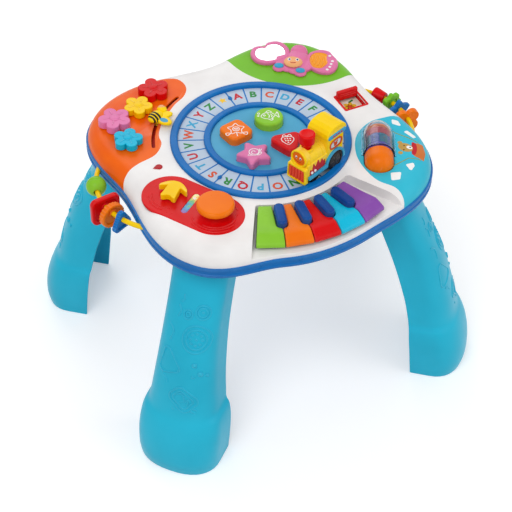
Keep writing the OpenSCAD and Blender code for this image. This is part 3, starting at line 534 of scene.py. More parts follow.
WHITE = plastic("white shell plastic", "F1EFEE", "E6E3E2", 0.36, rub=0.1)
BLUE = plastic("blue plastic", "0A6FBA", "0664AC", 0.30)
SHARP_BLUE = plastic("half tone key blue", "054F99", "052F7E", 0.28)
LEG_CYAN = plastic("cyan leg plastic", "28BAD9", "21AFCE", 0.34, rub=0.04, cloud=9.0)
PANEL_CYAN = plastic("sky panel plastic", "39BED7", "26B2CD", 0.34)
KEY_CYAN = plastic("cyan key plastic", "05BADC", "05AACD", 0.28)
ORANGE = plastic("orange plastic", "F56A02", "E85505", 0.32)
SOFT_ORANGE = plastic("bright orange plastic", "F27905", "E96A05", 0.30)
RED = plastic("red plastic", "D8040C", "CE0505", 0.30)
TRAIN_RED = plastic("chimney red plastic", "EC0505", "DC0505", 0.32)
GREEN = plastic("grass green plastic", "76BF26", "6CB41E", 0.32)
KEY_GREEN = plastic("leaf green plastic", "8BC934", "7EBC28", 0.30)
YELLOW = plastic("yellow plastic", "F9CF05", "F2C205", 0.30)
TRAIN_YELLOW = plastic("train yellow plastic", "FDDA05", "F8CF05", 0.30)
PINK = plastic("pink plastic", "E27EB0", "D873A6", 0.32)
PURPLE = plastic("purple plastic", "8B51AB", "7E3FA0", 0.30)
RING_LABEL = ink("letter ring label", "BCCBDC", "AFC0D4", 0.38)
SKY_LABEL = ink("sky label", "52A9CF", "489CC3")
LABEL_BLUE = ink("printed blue", "2277BE", "1D6BB0")
LABEL_RED = ink("printed red", "C4202F", "B51A28")
LABEL_GREEN = ink("printed green", "2C8A40", "247A36")
LABEL_ORANGE = ink("printed orange red", "D9582F", "CB4B25")
LABEL_SKY = ink("printed light blue", "3FA9D2", "359BC5")
LABEL_YELLOW = ink("printed yellow", "F2C230", "E8B424")
LINE_WHITE = ink("printed white line", "F6F4F4", "ECEAEA")
TYRE = plastic("black tyre plastic", "0C0C0D", "141416", 0.42, rub=0.1)
HUB = plastic("wheel hub grey", "2A2C30", "1E2023", 0.4)
DARK = plastic("black stripe", "1B1918", "2A2624", 0.35, rub=0.1)
PEACH = plastic("peach face", "F3B27C", "EBA56C", 0.36)
GREY = plastic("grey inner plastic", "5A5C60", "4E5054", 0.5)
CARD = plastic("picture card", "EFEBDD", "E4DFCF", 0.6, rub=0.0)

# ---- shells of the table top ----


def domed(name, thin, drop=0.0, steps=10):
    rings = [table_outline(3 + thin, EDGE_Z - drop)] if drop else []
    for k in range(steps + 1):
        a = 90 * k / steps
        inset = 3 + thin + (EDGE_W - thin) * (1 - cosd(a))
        rings.append(table_outline(inset, EDGE_Z + (EDGE_H - thin) * sind(a)))
    return built_up(name, rings)


ORANGE_AREA = smooth_line([
    (-52, 178), (-48, 155), (-60, 136), (-82, 122), (-112, 94), (-129, 69), (-134, 48), (-152, 30), (-182, 22),
    (-207, 9), (-224, -10), (-290, -30), (-300, 140), (-210, 300), (-128, 250), (-106, 204), (-78, 194)])
CYAN_AREA = smooth_line([
    (240, -40), (190, -34), (159, -34), (128, -52), (108, -85), (102, -118), (106, -150), (120, -172), (125, -192),
    (119, -212), (112, -290), (320, -290), (320, -40)])
GREEN_AREA = [polar(120, a, (157, 195)) for a in range(164, 291, 3)] + [(310, 60), (310, 310), (30, 310)]
CAPSULE_A, CAPSULE_B, CAPSULE_R = (-166, -57), (-127, -119), 40
KNOB = (-163, -58)
DIAL = (-126, -117)
SLIT_A, SLIT_B, SLIT_R = (-135, -74), (-162, -94), 4.6
LAMP = (-157, 4)
LAMP_R = 5.2
LAMP_AREA = [polar(LAMP_R, a, LAMP) for a in range(-126, 127, 14)] + [(LAMP[0] - 1.75 * LAMP_R, LAMP[1])]
PIANO_DIR, KEY_PITCH = 268.4, 10.6
RECESS_FROM = PIANO_DIR - 2.5 * KEY_PITCH - 1.2
RECESS_TO = PIANO_DIR + 2.5 * KEY_PITCH + 6.5
RECESS_R = 142.0
LEDGE_Z = 356.0
BEE_R, BEE_DIR, BEE_FROM, BEE_TO, SLOT_R = 154.0, 140, 117, 162, 2.6
ROLLER, ROLLER_DIR, ROLLER_L, ROLLER_R = (141.4, -91.5), 62, 104.0, 20.5
WINDOW = (142, 5, 177, 39)


def roller_area(grow):
    half = ROLLER_L / 2 - ROLLER_R
    dx, dy = polar(half, ROLLER_DIR)
    return stadium((ROLLER[0] - dx, ROLLER[1] - dy), (ROLLER[0] + dx, ROLLER[1] + dy), ROLLER_R + grow, 24)


def recess_tool(grow, low):
    spread = math.degrees(grow / RECESS_R)
    a0, a1 = RECESS_FROM - spread, RECESS_TO + spread
    inner = [polar(RECESS_R - grow, a1 - (a1 - a0) * k / 24) for k in range(25)]
    return cutter([polar(420, a0), polar(450, (a0 + a1) / 2), polar(420, a1)] + inner, low, 420)


def white_shell_blank():
    """Domed shell with the ledge that the keys lie on."""
    shell = domed("top_moulding", 0)
    hollow = domed("hollow", WALL, drop=1.0)
    carve(hollow, recess_tool(WALL, LEDGE_Z - WALL))
    carve(shell, hollow)
    tool = recess_tool(0, LEDGE_Z)
    soften(tool, lambda p, e: abs(p[0].z - p[1].z) > 1 and math.hypot(p[0].x, p[0].y) < RECESS_R + 1
           and e.calc_face_angle(0) > 0.8, 5.0, 5)
    carve(shell, tool)
    return shell


def slot_tool():
    """Curved slot that the bee slides in."""
    outer = [polar(BEE_R + SLOT_R, a) for a in range(BEE_FROM, BEE_TO + 1, 3)]
    inner = [polar(BEE_R - SLOT_R, a) for a in range(BEE_TO, BEE_FROM - 1, -3)]
    end = [polar(SLOT_R, BEE_TO + t, polar(BEE_R, BEE_TO)) for t in range(30, 180, 30)]
    start = [polar(SLOT_R, BEE_FROM + t, polar(BEE_R, BEE_FROM)) for t in range(210, 360, 30)]
    return cutter(outer + end + inner + start, 340, 400)


def table_top():
    blank = white_shell_blank()
    panels = []
    for name, area in (("orange_cover", ORANGE_AREA), ("green_cover", GREEN_AREA), ("sky_cover", CYAN_AREA)):
        panel = copied(blank, name)
        carve(panel, cutter(area, 330, 400), "INTERSECT")
        carve(blank, cutter(area, 330, 400))
        panels.append(panel)
    for area, low in ((stadium(CAPSULE_A, CAPSULE_B, CAPSULE_R, 28), 366), (ring(TRACK_R + 0.3, 120), 366),
                      (box_area(*WINDOW, 1.5), 366), (LAMP_AREA, 366)):
        carve(blank, cutter(area, low, 400))
    orange, green, sky = panels
    carve(orange, slot_tool())
    carve(sky, cutter(roller_area(1.2), 340, 400))
    for piece in (blank, *panels):
        eased(piece, 0.7, 3, 38)
    fit(blank, "table", WHITE, ["top_shell"])
    fit(orange, "table", ORANGE, ["orange_panel"])
    fit(green, "table", GREEN, ["green_panel"])
    fit(sky, "table", PANEL_CYAN, ["cyan_panel"])


table_top()


def bottom_band():
    steps = [(2.0, BAND_Z), (0.6, BAND_Z + 0.6), (0.0, BAND_Z + 2.0), (0.0, 339.0), (1.2, 340.0), (1.2, 345.0),
             (0.0, 346.0), (0.0, 348.4), (0.5, 349.6), (1.8, EDGE_Z)]
    band = built_up("blue_band", [table_outline(*step) for step in steps])
    open_up(band)
    pick(band, "FACE", lambda p, f: f.normal.z > 0.9 and p[0].z > 349.9)
    bpy.ops.mesh.inset(thickness=4.2 * MM, depth=0)
    bpy.ops.mesh.extrude_region_move(TRANSFORM_OT_translate={"value": (0, 0, (FLOOR_Z - EDGE_Z) * MM)})
    close_up()
    tools = [cutter(box_area(67, 9, 125, 71, 2), 330, 345)]
    tools += [cutter(box_area(-92, 96 + 6 * i - 1.2, -48, 96 + 6 * i + 1.2, 1.1), 330, 345) for i in range(-3, 4)]
    carve(band, joined("openings", tools))
    fit(band, "table", BLUE, ["bottom_shell"])


bottom_band()

# ---- letter track ----


BUTTONS = [("green_shape", (27, 29), 0, KEY_GREEN, "green_button", "green"),
           ("orange_shape", (-29, 22), 12, SOFT_ORANGE, "orange_button", "orange"),
           ("pink_shape", (-28, -35), 20, PINK, "pink_button", "pink"),
           ("red_shape", (27, -31), -8, RED, "red_button", "red")]


def button_outline(i, grow=0.0):
    if i == 0:
        points = ring(21 + grow, 64)
    elif i == 1:
        points = rounded([polar(27.5 + grow * 1.414, a) for a in (45, 135, 225, 315)], 10 + grow, 8)
    elif i == 2:
        points = rounded(star_points(5, 28.5 + 1.6 * grow, 15.5 + grow), 3.2, 5)
    else:
        points = rounded([polar(33 + 2 * grow, a) for a in (30, 150, 270)], 9 + grow, 8)
    return moved(points, BUTTONS[i][1], BUTTONS[i][2])


def track():
    rim = bent_round(TRACK_R - 2.4, 373.6, 2.4, 0, 90, 5) + bent_round(TRACK_R - RIM_W + 2.4, 373.6, 2.4, 90, 180, 5)
    lip = bent_round(INNER_RIM_R - 2.2, 372.8, 2.2, 0, 90, 5) + \
        bent_round(INNER_RIM_R - INNER_RIM_W + 2.2, 372.8, 2.2, 90, 180, 5)
    tray = turned("track_dish", [(0, 366), (134, 366), (134, 368.8), (TRACK_R, 368.8)] + rim +
                  [(TRACK_R - RIM_W, 368.4), (INNER_RIM_R, 368.4)] + lip +
                  [(INNER_RIM_R - INNER_RIM_W, 368.4), (0, 368.4)], 144)
    for i in range(4):
        carve(tray, cutter(button_outline(i, 0.4), 360, 370))
    fit(tray, "table", BLUE, ["track_tray"])
    label = turned("letter_label", [(82.1, 368.5), (118.9, 368.5), (118.9, 370.8), (118.6, 371), (82.4, 371),
                                    (82.1, 370.8)], 144)
    fit(label, "table", RING_LABEL, ["letter_ring"])
    disc = turned("sky_disc", [(0, 368.5), (71.9, 368.5), (71.9, 370.8), (71.6, 371), (0, 371)], 96)
    for i in range(4):
        carve(disc, cutter(button_outline(i, 0.4), 360, 380))
    eased(disc, 0.3, 2, 50)
    fit(disc, "table", SKY_LABEL, ["centre_plate"])


def printed(name, outlines, z, finish):
    """Flat print: thin plates on the face at height z."""
    parts = [plate(name, line, z - 0.2, z + 0.12, edge=0) for line in outlines]
    return fit(joined(name, parts), "table", finish, flat=False)


def divider_lines():
    lines = []
    for k in range(CELLS):
        a = 90 - 360 / CELLS * k
        lines.append(moved([(82.2, -1.1), (118.8, -1.1), (118.8, 1.1), (82.2, 1.1)], (0, 0), a))
    printed("cell_lines", lines, RING_TOP, LABEL_BLUE)
    nubs = []
    for a in (90, 210):
        nub = block("nub", (-2.2, -1.7, 370.5), (6.2, 1.7, 373.4), 1.2, 3)
        tip = ball("nub", 3.0, (2, 0, 371.5), (1.2, 1, 0.8))
        nubs.append(place(joined("nub", [nub, tip]), (*polar(101, a), 0), (0, 0, a)))
    fit(joined("track_nubs", nubs), "table", BLUE)


LETTER_SIZE = 18.4


def letter(sign, at, turn, z):
    curve = bpy.data.curves.new("letter", "FONT")
    curve.body = sign
    curve.size = LETTER_SIZE * MM
    curve.align_x = "CENTER"
    curve.align_y = "CENTER"
    curve.extrude = 0.15 * MM
    curve.offset = 0.66 * MM
    curve.resolution_u = 3
    obj = as_mesh("letter", curve)
    open_up(obj)
    bpy.ops.mesh.select_all(action="SELECT")
    bpy.ops.mesh.remove_doubles(threshold=2e-6)
    outwards()
    close_up()
    hold(obj)
    bpy.ops.object.origin_set(type="ORIGIN_GEOMETRY", center="BOUNDS")
    return place(obj, (*at, z), (0, 0, turn))


def letters():
    tones = [("letters_red", LABEL_RED), ("letters_green", LABEL_GREEN), ("letters_vermilion", LABEL_ORANGE),
             ("letters_sky", LABEL_SKY)]
    for k, (name, finish) in enumerate(tones):
        signs = []
        for i in range(k, 26, 4):
            a = 90 - 360 / CELLS * (i + 0.5)
            signs.append(letter("ABCDEFGHIJKLMNOPQRSTUVWXYZ"[i], polar(104, a), a - 90, RING_TOP))
        fit(joined(name, signs), "table", finish, flat=False)
    a = 90 + 360 / CELLS * 0.5
    printed("start_star", [moved(star_points(5, 7, 3.2, 90), polar(104, a), a - 90)], RING_TOP, LABEL_YELLOW)


track()
divider_lines()
letters()


# ---- shape buttons ----


def inked(name, lines, z, width, body):
    """Thin drawn lines that stand a hair above the face at height z."""
    parts = []
    for line in lines:
        closed = line[0] == line[-1]
        points = [(x, y, 0) for x, y in (line[:-1] if closed else line)]
        parts.append(place(wire(name, points, width / 2, closed, 1), (0, 0, z), size=(1, 1, 0.35)))
    return fit(joined(name, parts), body, LINE_WHITE, flat=False)


def loop(points, steps=5):
    """Smooth line that ends where it starts."""
    line = smooth_line(points, steps)
    return line + [line[0]]


def circle_line(x, y, r, steps=16):
    line = ring(r, steps, (x, y))
    return line + [line[0]]


FISH = [loop([(-11, 0), (-5, 6.5), (4, 6), (9, 1), (13, 6), (13, -6), (9, -1), (3, -6), (-5, -6)]),
        circle_line(-6, 1.6, 1.3), [(-1, 4.6), (1, 0), (-1, -4.6)], [(3, 3.6), (4.6, 0), (3, -3.6)],
        loop([(-3, 7), (1, 11), (5, 8), (3, 6.4)]), circle_line(-13, 7, 1.5), circle_line(-14.4, 2, 1.0),
        loop([(-2, -7), (2, -10.5), (4, -7)])]
BLOOM = [loop([polar(11.5 if k % 2 == 0 else 7.4, 36 * k + 18) for k in range(10)], 4), circle_line(0, 0, 4.4),
         circle_line(-1.5, 0.8, 0.7), circle_line(1.5, 0.8, 0.7), [(-1.7, -1.4), (0, -2.4), (1.7, -1.4)],
         loop([(8, -9), (13, -13), (14, -8)]), loop([(-8, -9), (-13, -13), (-14, -8)]), [(0, -8), (0.6, -15)]]
SNAIL = [[polar(1.2 + 0.021 * a, a) for a in range(0, 400, 25)], circle_line(0, 0, 9.4),
         [(-9, -3.4), (-13, -8.4), (8, -9.4), (13, -5), (11.5, 2), (9.2, 1)], [(12, 2), (14.4, 6.4)],
         [(10.4, 2.6), (10.6, 7.4)],
         circle_line(11.5, -2.2, 0.7)]
BERRY = [loop([(0, -11.5), (8.5, -3), (9, 4.5), (3, 8), (0, 6.5), (-3, 8), (-9, 4.5), (-8.5, -3)]),
         loop([(0, 7.5), (4.5, 12.5), (6.8, 8.2)]), loop([(0, 7.5), (-4.5, 12.5), (-6.8, 8.2)])] + \
    [circle_line(x, y, 0.75, 8) for x, y in ((-4, 2.4), (0, 2.8), (4, 2.4), (-3.4, -2.2), (0.4, -1.8), (3.8, -2.4),
                                             (0, -6.4))]


BUTTON_TOP, BUTTON_ROUND = 383.2, 3.6
BUTTON_ART = [(FISH, 1.05, -14), (BLOOM, 1.08, -20), (SNAIL, 0.78, -16), (BERRY, 0.92, -18)]


def buttons():
    for i, (body, at, turn, finish, node, slot) in enumerate(BUTTONS):
        rings = [[(x, y, z) for x, y in button_outline(i)] for z in (363.9, BUTTON_TOP - BUTTON_ROUND - 0.2)]
        for a in (22, 45, 68, 90):
            outline = button_outline(i, -BUTTON_ROUND * (1 - cosd(a)))
            rings.append([(x, y, BUTTON_TOP - BUTTON_ROUND + BUTTON_ROUND * sind(a)) for x, y in outline])
        fit(built_up(node, rings), body, finish, [node], smooth=50)
        art, size, tilt = BUTTON_ART[i]
        inked(node + "_print", [moved(scaled(line, size), at, tilt) for line in art], BUTTON_TOP, 1.2, body)


buttons()


# ---- piano ----

KEYS = [("green", KEY_GREEN, "green"), ("orange", SOFT_ORANGE, "orange"), ("red", RED, "red"),
        ("cyan", KEY_CYAN, "cyan"), ("purple", PURPLE, "purple")]


# radius, inset, foot, top and rounding of each section of a key
KEY_SPOTS = [
    (146.4, 1.6, 370, 373.2, 0.8), (147.2, 0.5, 370, 374.3, 1.5), (148.6, 0, 370, 374.6, 1.9),
    (166, 0, 370, 374.6, 1.9), (180, 0, 370, 374.7, 1.9), (184.5, 0, 370, 374.9, 1.9), (187, 0, 370, 375.1, 1.9),
    (189, 0, 370, 375.2, 1.9), (191, 0, 370, 375.4, 1.9), (192.3, 0, 370, 375.5, 1.9), (193.4, 0, 370, 375.6, 2.0),
    (196.5, 0, 370, 375.9, 2.1), (200.5, 0, 370, 376.0, 2.2), (202.5, 0, 370, 375.7, 2.3),
    (204.3, 0, 370, 374.9, 2.4), (206, 0, 370, 373.9, 2.4), (210, 0, 368.6, 371.4, 2.0),
    (212.9, 0, 366.4, 369.6, 2.0), (213.1, 0, 362.6, 369.5, 2.0), (215.2, 0.1, 362.6, 368.1, 2.0),
    (216.4, 0.5, 362.6, 366.9, 2.0), (216.9, 1.2, 362.6, 365.6, 2.0)]


def key_dir(i):
    return PIANO_DIR + (i - 2) * KEY_PITCH


def sharp_dir(j):
    return PIANO_DIR + (j - 1.5) * KEY_PITCH


def notch(r, full):
    """Half width left beside a half-tone key."""
    if r <= 185:
        return full - 7.9
    if r < 192.9:
        return full - math.sqrt(7.9 ** 2 - (r - 185) ** 2)
    return full - 0.5


def key_section(i, r, inset, low, top, edge):
    """Upright section of a key at radius r, square to the key's middle line."""
    half = math.tan(math.radians(KEY_PITCH / 2)) * r
    left = half - 0.6 if i == 0 else notch(r, half)
    right = half - 0.6 if i == 4 else notch(r, half)
    left, right = left - inset, right - inset
    bow = [(edge * (1 - cosd(a)), top - edge * (1 - sind(a))) for a in (0, 30, 60, 90)]
    line = [(-left, low)] + [(x - left, z) for x, z in bow] + [(right - x, z) for x, z in bow[::-1]] + [(right, low)]
    c, s = cosd(key_dir(i)), sind(key_dir(i))
    return [(r * c - y * s, r * s + y * c, z) for y, z in line]


def key(i):
    name, finish, slot = KEYS[i]
    obj = built_up(name + "_key", [key_section(i, *spot) for spot in KEY_SPOTS])
    lug = block("lug", (146.5, -3.9, 360.2), (155.8, 3.9, 371), 0.6, 2)
    place(lug, turn=(0, 0, key_dir(i)))
    hole = turned("hole", [(0, -9), (1.6, -9), (1.6, 9), (0, 9)], 24)
    carve(lug, place(hole, (*polar(152, key_dir(i)), 363), (90, 0, key_dir(i))))
    obj = joined(name + "_key", [obj, lug])
    fit(obj, name + "_note", finish, [name + "_key"], smooth=50)


def sharps():
    parts = []
    for j in range(4):
        a = sharp_dir(j)
        outline = stadium(polar(157, a), polar(185, a), 7, 12)
        cap = plate("cap", outline, 371, 383, 3.4, 6)
        open_up(cap)
        pick(cap, "FACE", lambda p, f: f.normal.z < -0.9)
        bpy.ops.mesh.inset(thickness=3 * MM, depth=0)
        close_up()
        foot = place(block("foot", (162, -2.5, 358), (197, 2.5, 371.5), 0.5, 2), turn=(0, 0, a))
        parts += [cap, foot]
    fit(joined("half_tone_keys", parts), "table", SHARP_BLUE, ["sharp_keys"], smooth=50)


for number in range(5):
    key(number)
sharps()


# ---- red panel with arrow and dial ----


def red_capsule():
    base = plate("red_capsule", stadium(CAPSULE_A, CAPSULE_B, CAPSULE_R, 28), 369.05, 372.6, 1.2, 4)
    for at, r in ((KNOB, 4.1), (DIAL, 9.1)):
        carve(base, cutter(ring(r, 32, at), 360, 380))
    carve(base, cutter(stadium(SLIT_A, SLIT_B, SLIT_R + 0.1, 10), 360, 380))
    eased(base, 0.3, 2, 60)
    ribs = []
    for r, a0, a1 in ((29, -62, 62), (33, -100, 28), (37.6, -84, 10), (30, 78, 112)):
        line = [(*polar(r, a - 90, DIAL), 372.5) for a in range(a0, a1 + 1, 6)]
        ribs.append(wire("rib", [p for p in line if inside_capsule(p, 3)], 1.3, False, 3))
    for r, a0, a1 in ((29, 150, 240), (33.6, 160, 225)):
        line = [(*polar(r, a, KNOB), 372.3) for a in range(a0, a1 + 1, 6)]
        ribs.append(wire("rib", [p for p in line if inside_capsule(p, 3)], 1.1, False, 3))
    fit(joined("red_capsule", [base] + ribs), "table", RED, ["red_panel"], smooth=50)


def inside_capsule(p, margin):
    a, b = Vector(CAPSULE_A), Vector(CAPSULE_B)
    q = Vector(p[:2])
    t = max(0.0, min(1.0, (q - a).dot(b - a) / (b - a).length_squared))
    return (q - a - t * (b - a)).length < CAPSULE_R - margin


def rainbow_finish():
    """Bands of colour that run into each other along the slit."""
    finish, tree = new_finish("rainbow window")
    where = spot_on(tree)
    along = Vector(SLIT_B) - Vector(SLIT_A)
    for ends in ({"Location": (-SLIT_A[0] * MM, -SLIT_A[1] * MM, 0)},
                 {"Rotation": (0, 0, -math.atan2(along.y, along.x)), "Scale": (1 / (along.length * MM),) * 3}):
        turned_to = add_node(tree, "ShaderNodeMapping", [("Vector", where)], **ends)
        where = turned_to.outputs["Vector"]
    split = add_node(tree, "ShaderNodeSeparateXYZ", [("Vector", where)])
    haze = noise(tree, spot_on(tree), 120.0)
    sway = sums(tree, "MULTIPLY_ADD", split.outputs["X"], 0.8, haze)
    ramp = add_node(tree, "ShaderNodeValToRGB", [("Fac", sums(tree, "SUBTRACT", sway, 0.4))])
    stops = [(0.0, "E9E7A8"), (0.2, "F2C53C"), (0.4, "67B96B"), (0.6, "3FA7C8"), (0.78, "4C79BE"), (1.0, "8E5FB0")]
    while len(ramp.color_ramp.elements) < len(stops):
        ramp.color_ramp.elements.new(0.5)
    for spot, (at, code) in zip(ramp.color_ramp.elements, stops):
        spot.position = at
        spot.color = tone(code)
    dress(tree, ramp.outputs["Color"], span(tree, haze, To_Min=0.12, To_Max=0.3), haze, 0.05, 0.0005)
    return finish


def window_and_lamp():
    pane = plate("rainbow_window", stadium(SLIT_A, SLIT_B, SLIT_R, 10), 369.1, 372.2, 0.6, 3)
    fit(pane, "table", rainbow_finish(), ["lenses"])
    printed("window_star", [moved(star_points(5, 3.6, 1.6, 90), (-139, -77), 20)], 372.2, LINE_WHITE)
    lamp_piece = plate("lamp_lens", LAMP_AREA, 369.1, 373.6, 1.4, 4)
    fit(lamp_piece, "table", plastic("lamp red plastic", "B0101C", "A00C18", 0.2), ["lenses"], smooth=60)


STALK = [(0, 366.7), (6, 366.7), (6, 368.6), (4, 368.7)]     # foot of the turning pieces, below the top


def arrow_piece():
    side = [(16.4, 3.4), (14.4, 9), (10.4, 14.4), (4.6, 19.6), (0.6, 20.6), (1.0, 17.4), (3.4, 13.2), (4.6, 9.6),
            (-2, 9.8), (-10, 10.2), (-15.6, 10.8), (-17.6, 9.2), (-16.4, 5.4), (-14.2, 2.2)]
    line = side + [(x, -y) for x, y in reversed(side)]
    head = plate("arrow", moved(smooth_line(line, 3), KNOB, 42), 375.0, 384.0, 2.0, 5, foot=0.6)
    hub = turned("hub", STALK + [(4, 373), (9, 373), (9, 376), (0, 376)], 48)
    fit(joined("arrow_piece", [head, place(hub, (*KNOB, 0))]), "arrow", YELLOW, ["arrow_knob"], smooth=50)


def dial_piece():
    profile = [(0, 358), (5, 358), (5, 366), (9, 366), (9, 384.2), (21, 384)] + \
        bent_round(23.2, 386.8, 2.8, -90, 0, 4) + bent_round(22.0, 388.9, 4.0, 10, 84, 6) + [(12, 393), (0, 393)]
    fit(place(turned("dial_piece", profile, 80), (*DIAL, 0)), "dial_wheel", SOFT_ORANGE, ["dial"], smooth=50)


red_capsule()
window_and_lamp()
arrow_piece()
dial_piece()


# ---- flowers ----

FLOWERS = [("red", (187.6, 121.5), 10, RED, 1.09), ("yellow", (188.8, 135.2), 40, YELLOW, 1.0),
           ("pink", (212.2, 146.5), 22, PINK, 1.12), ("cyan", (189.4, 158.3), 55, KEY_CYAN, 1.0)]
FLOWER_FOOT = 373.2


def bloom_line(size):
    """Five broad petals with narrow notches."""
    out, c, p = [], 0.612 * size, 0.388 * size
    for k in range(120):
        phi = (3.0 * k + 36) % 72 - 36
        out.append(polar(c * cosd(phi) + math.sqrt(p ** 2 - (c * sind(phi)) ** 2), 3.0 * k))
    return out


def flowers():
    whorl = plate("whorl", bloom_line(21.3), FLOWER_FOOT, 383.0, 2.0, 5, foot=0.6)
    vein = [wire("vein", [(*polar(6.6, 72 * k), 382.9), (*polar(15.0, 72 * k), 382.8)], 1.0, False, 2)
            for k in range(5)]
    eye = turned("eye", [(0, 382.4), (6.4, 382.4), (6.4, 383.4), (5.6, 384.2), (3.6, 384.6), (0, 384.6)], 32)
    stalk = turned("stalk", STALK + [(4, 374.5), (0, 374.5)], 32)
    bloom = joined("bloom", [whorl, eye, stalk] + vein)
    for name, spot, phase, finish, k in FLOWERS:
        tall = 1 + 1.6 * (k - 1)
        piece = place(copied(bloom, name + "_bloom"), (*polar(*spot), FLOWER_FOOT * (1 - tall)), (0, 0, phase),
                      (k, k, tall))
        fit(piece, name + "_spinner", finish, [name + "_flower"], smooth=50)
    bpy.data.objects.remove(bloom)


flowers()


# ---- legs ----

LEG_PLACES = [("back_right_leg", 40, 0), ("back_left_leg", 141, 6), ("front_left_leg", 221.5, -3),
              ("front_right_leg", 321, -4)]
LEG_TOP, LEG_WALL = 334.0, 3.6
LEG_ROWS = [(0, 338, 262, 61, 46), (20, 341, 260, 62, 45), (48, 338, 257, 62.5, 43), (72, 331, 254, 61.5, 41),
            (89, 323, 252, 58.5, 40), (97, 318, 250, 53, 40), (111.2, 313, 247, 51, 39), (146.8, 304, 238, 47, 37),
            (202.5, 285, 219, 42.5, 33), (251, 262, 200, 41, 28), (292.5, 241, 183, 41, 24), (334, 224, 166, 41, 20)]
FINE_ROWS = smooth_line(LEG_ROWS, 3, False)


def leg_section(row, thin, back):
    z, outer, inner, half, depth = row
    points = [(inner - back, thin - half, z)]
    for a in range(-90, 91, 9):
        s, c = sind(a), cosd(a)
        points.append((outer - thin - depth * (1 - abs(c) ** 0.85),
                       (half - thin) * math.copysign(abs(s) ** 0.85, s), z))
    return points + [(inner - back, half - thin, z)]


def on_leg_face(y, z, proud=0.0):
    """Point on the rounded outer face, y from its middle and z above the floor."""
    for low, high in zip(FINE_ROWS, FINE_ROWS[1:]):
        if low[0] <= z <= high[0]:
            t = (z - low[0]) / (high[0] - low[0])
            row = [a + (b - a) * t for a, b in zip(low, high)]
            break
    s = min(1.0, (abs(y) / row[3]) ** (1 / 0.85))
    return (row[1] - row[4] * (1 - (1 - s * s) ** 0.425) + proud, y, z)


def leg_relief():
    """Raised outlines of simple shapes on the outer face."""
    closed = [ring(r, 24, (20, 261)) for r in (9.5, 6.0)] + [ring(r, 20, (0, 255)) for r in (6.2, 3.0)]
    closed += [ring(r, 40, (17, 224)) for r in (19.0, 13.6)]
    closed += [smooth_line(rounded([(-24, 211), (4, 174), (-33, 162)], 6, 5), 2),
               smooth_line(rounded([(5, 153), (35, 132), (14, 107), (-14, 133)], 9, 5), 2),
               smooth_line(rounded([(5, 146), (27, 132), (13, 114), (-6, 133)], 5, 4), 2)]
    drawn = [[(-10, 279), (-9, 273), (-13, 269)], [(-15, 264), (-11, 258), (-14, 249)],
             [(-25, 236), (-17, 228), (-20, 214)], [(-24, 160), (-18, 157), (-15, 151)], [(24, 119), (31, 116)],
             [(22, 114), (30, 110)], [(1, 139), (9, 140), (12, 130), (4, 127)], [(13, 128), (18, 133), (17, 122)]]
    parts = [wire("line", [on_leg_face(y, z, -0.3) for y, z in line], 1.5, True, 2) for line in closed]
    parts += [wire("line", [on_leg_face(y, z, -0.3) for y, z in smooth_line(line, 4, False)], 1.4, False, 2)
              for line in drawn]
    dots = [(20, 261, 2.4), (0, 255, 1.4), (17, 224, 2.4), (20, 187, 4.0), (29, 174, 4.4), (37, 171, 3.0),
            (20, 169, 3.0), (-3, 112, 2.4)] + [(*polar(8.2, 45 * k, (17, 224)), 2.5) for k in range(8)]
    return parts + [ball("dot", r, on_leg_face(y, z, -0.8), (0.8, 1, 1), steps=12) for y, z, r in dots]


def legs():
    shell = built_up("leg", [leg_section(row, 0, 0) for row in FINE_ROWS])
    roof = LEG_TOP - LEG_WALL
    rows = [(-2.0, *FINE_ROWS[0][1:])] + [row for row in FINE_ROWS if row[0] < roof] + [(roof, *FINE_ROWS[-1][1:])]
    hollow = built_up("hollow", [leg_section(row, LEG_WALL, 30) for row in rows])
    carve(shell, hollow)
    eased(shell, 1.3, 3, 50)
    tongue = block("tongue", (176, -24, 330), (212, 24, 348), 0.8, 2)
    leg = joined("leg", [shell, tongue] + leg_relief())
    for name, direction, shift in LEG_PLACES:
        piece = place(copied(leg, name), (*polar(shift, direction), 0), (0, 0, direction))
        fit(piece, "table", LEG_CYAN, ["legs"], smooth=50)
    bpy.data.objects.remove(leg)


legs()


# ---- bead rails ----

RAIL_HALF, RAIL_BOW, RAIL_Z, ROD_R = 74.0, 30.0, 343.0, 3.6
RAIL_R = (RAIL_HALF ** 2 + RAIL_BOW ** 2) / (2 * RAIL_BOW)
RAIL_SWEEP = math.degrees(math.asin(RAIL_HALF / RAIL_R))
RAILS = {"left": (-(215 + RAIL_BOW - RAIL_R), 4.0, 180), "right": (206 + RAIL_BOW - RAIL_R, -4.0, 0)}


def on_rail(side, a):
    """Frame of a bead: X outwards, Y along the rod."""
    x, y, facing = RAILS[side]
    return Matrix.Translation(Vector((x, y, RAIL_Z)) * MM) @ Matrix.Rotation(math.radians(facing + a), 4, "Z") @ \
        Matrix.Translation(Vector((RAIL_R, 0, 0)) * MM)


def rods():
    for side, (x, y, facing) in RAILS.items():
        sweep = RAIL_SWEEP + 3.5
        line = [(*polar(RAIL_R, facing - sweep + 2 * sweep * k / 60, (x, y)), RAIL_Z) for k in range(61)]
        fit(wire(side + "_rod", line, ROD_R, False, 6), "table", YELLOW, [side + "_rail"], smooth=50)


def ribbed(points, depth):
    """Outline with fine ribs round its edge."""
    out = []
    for i, (x, y) in enumerate(points):
        k = 1 - (depth / math.hypot(x, y) if i // 2 % 2 else 0)
        out.append((x * k, y * k))
    return out


HOLE_R = 3.95


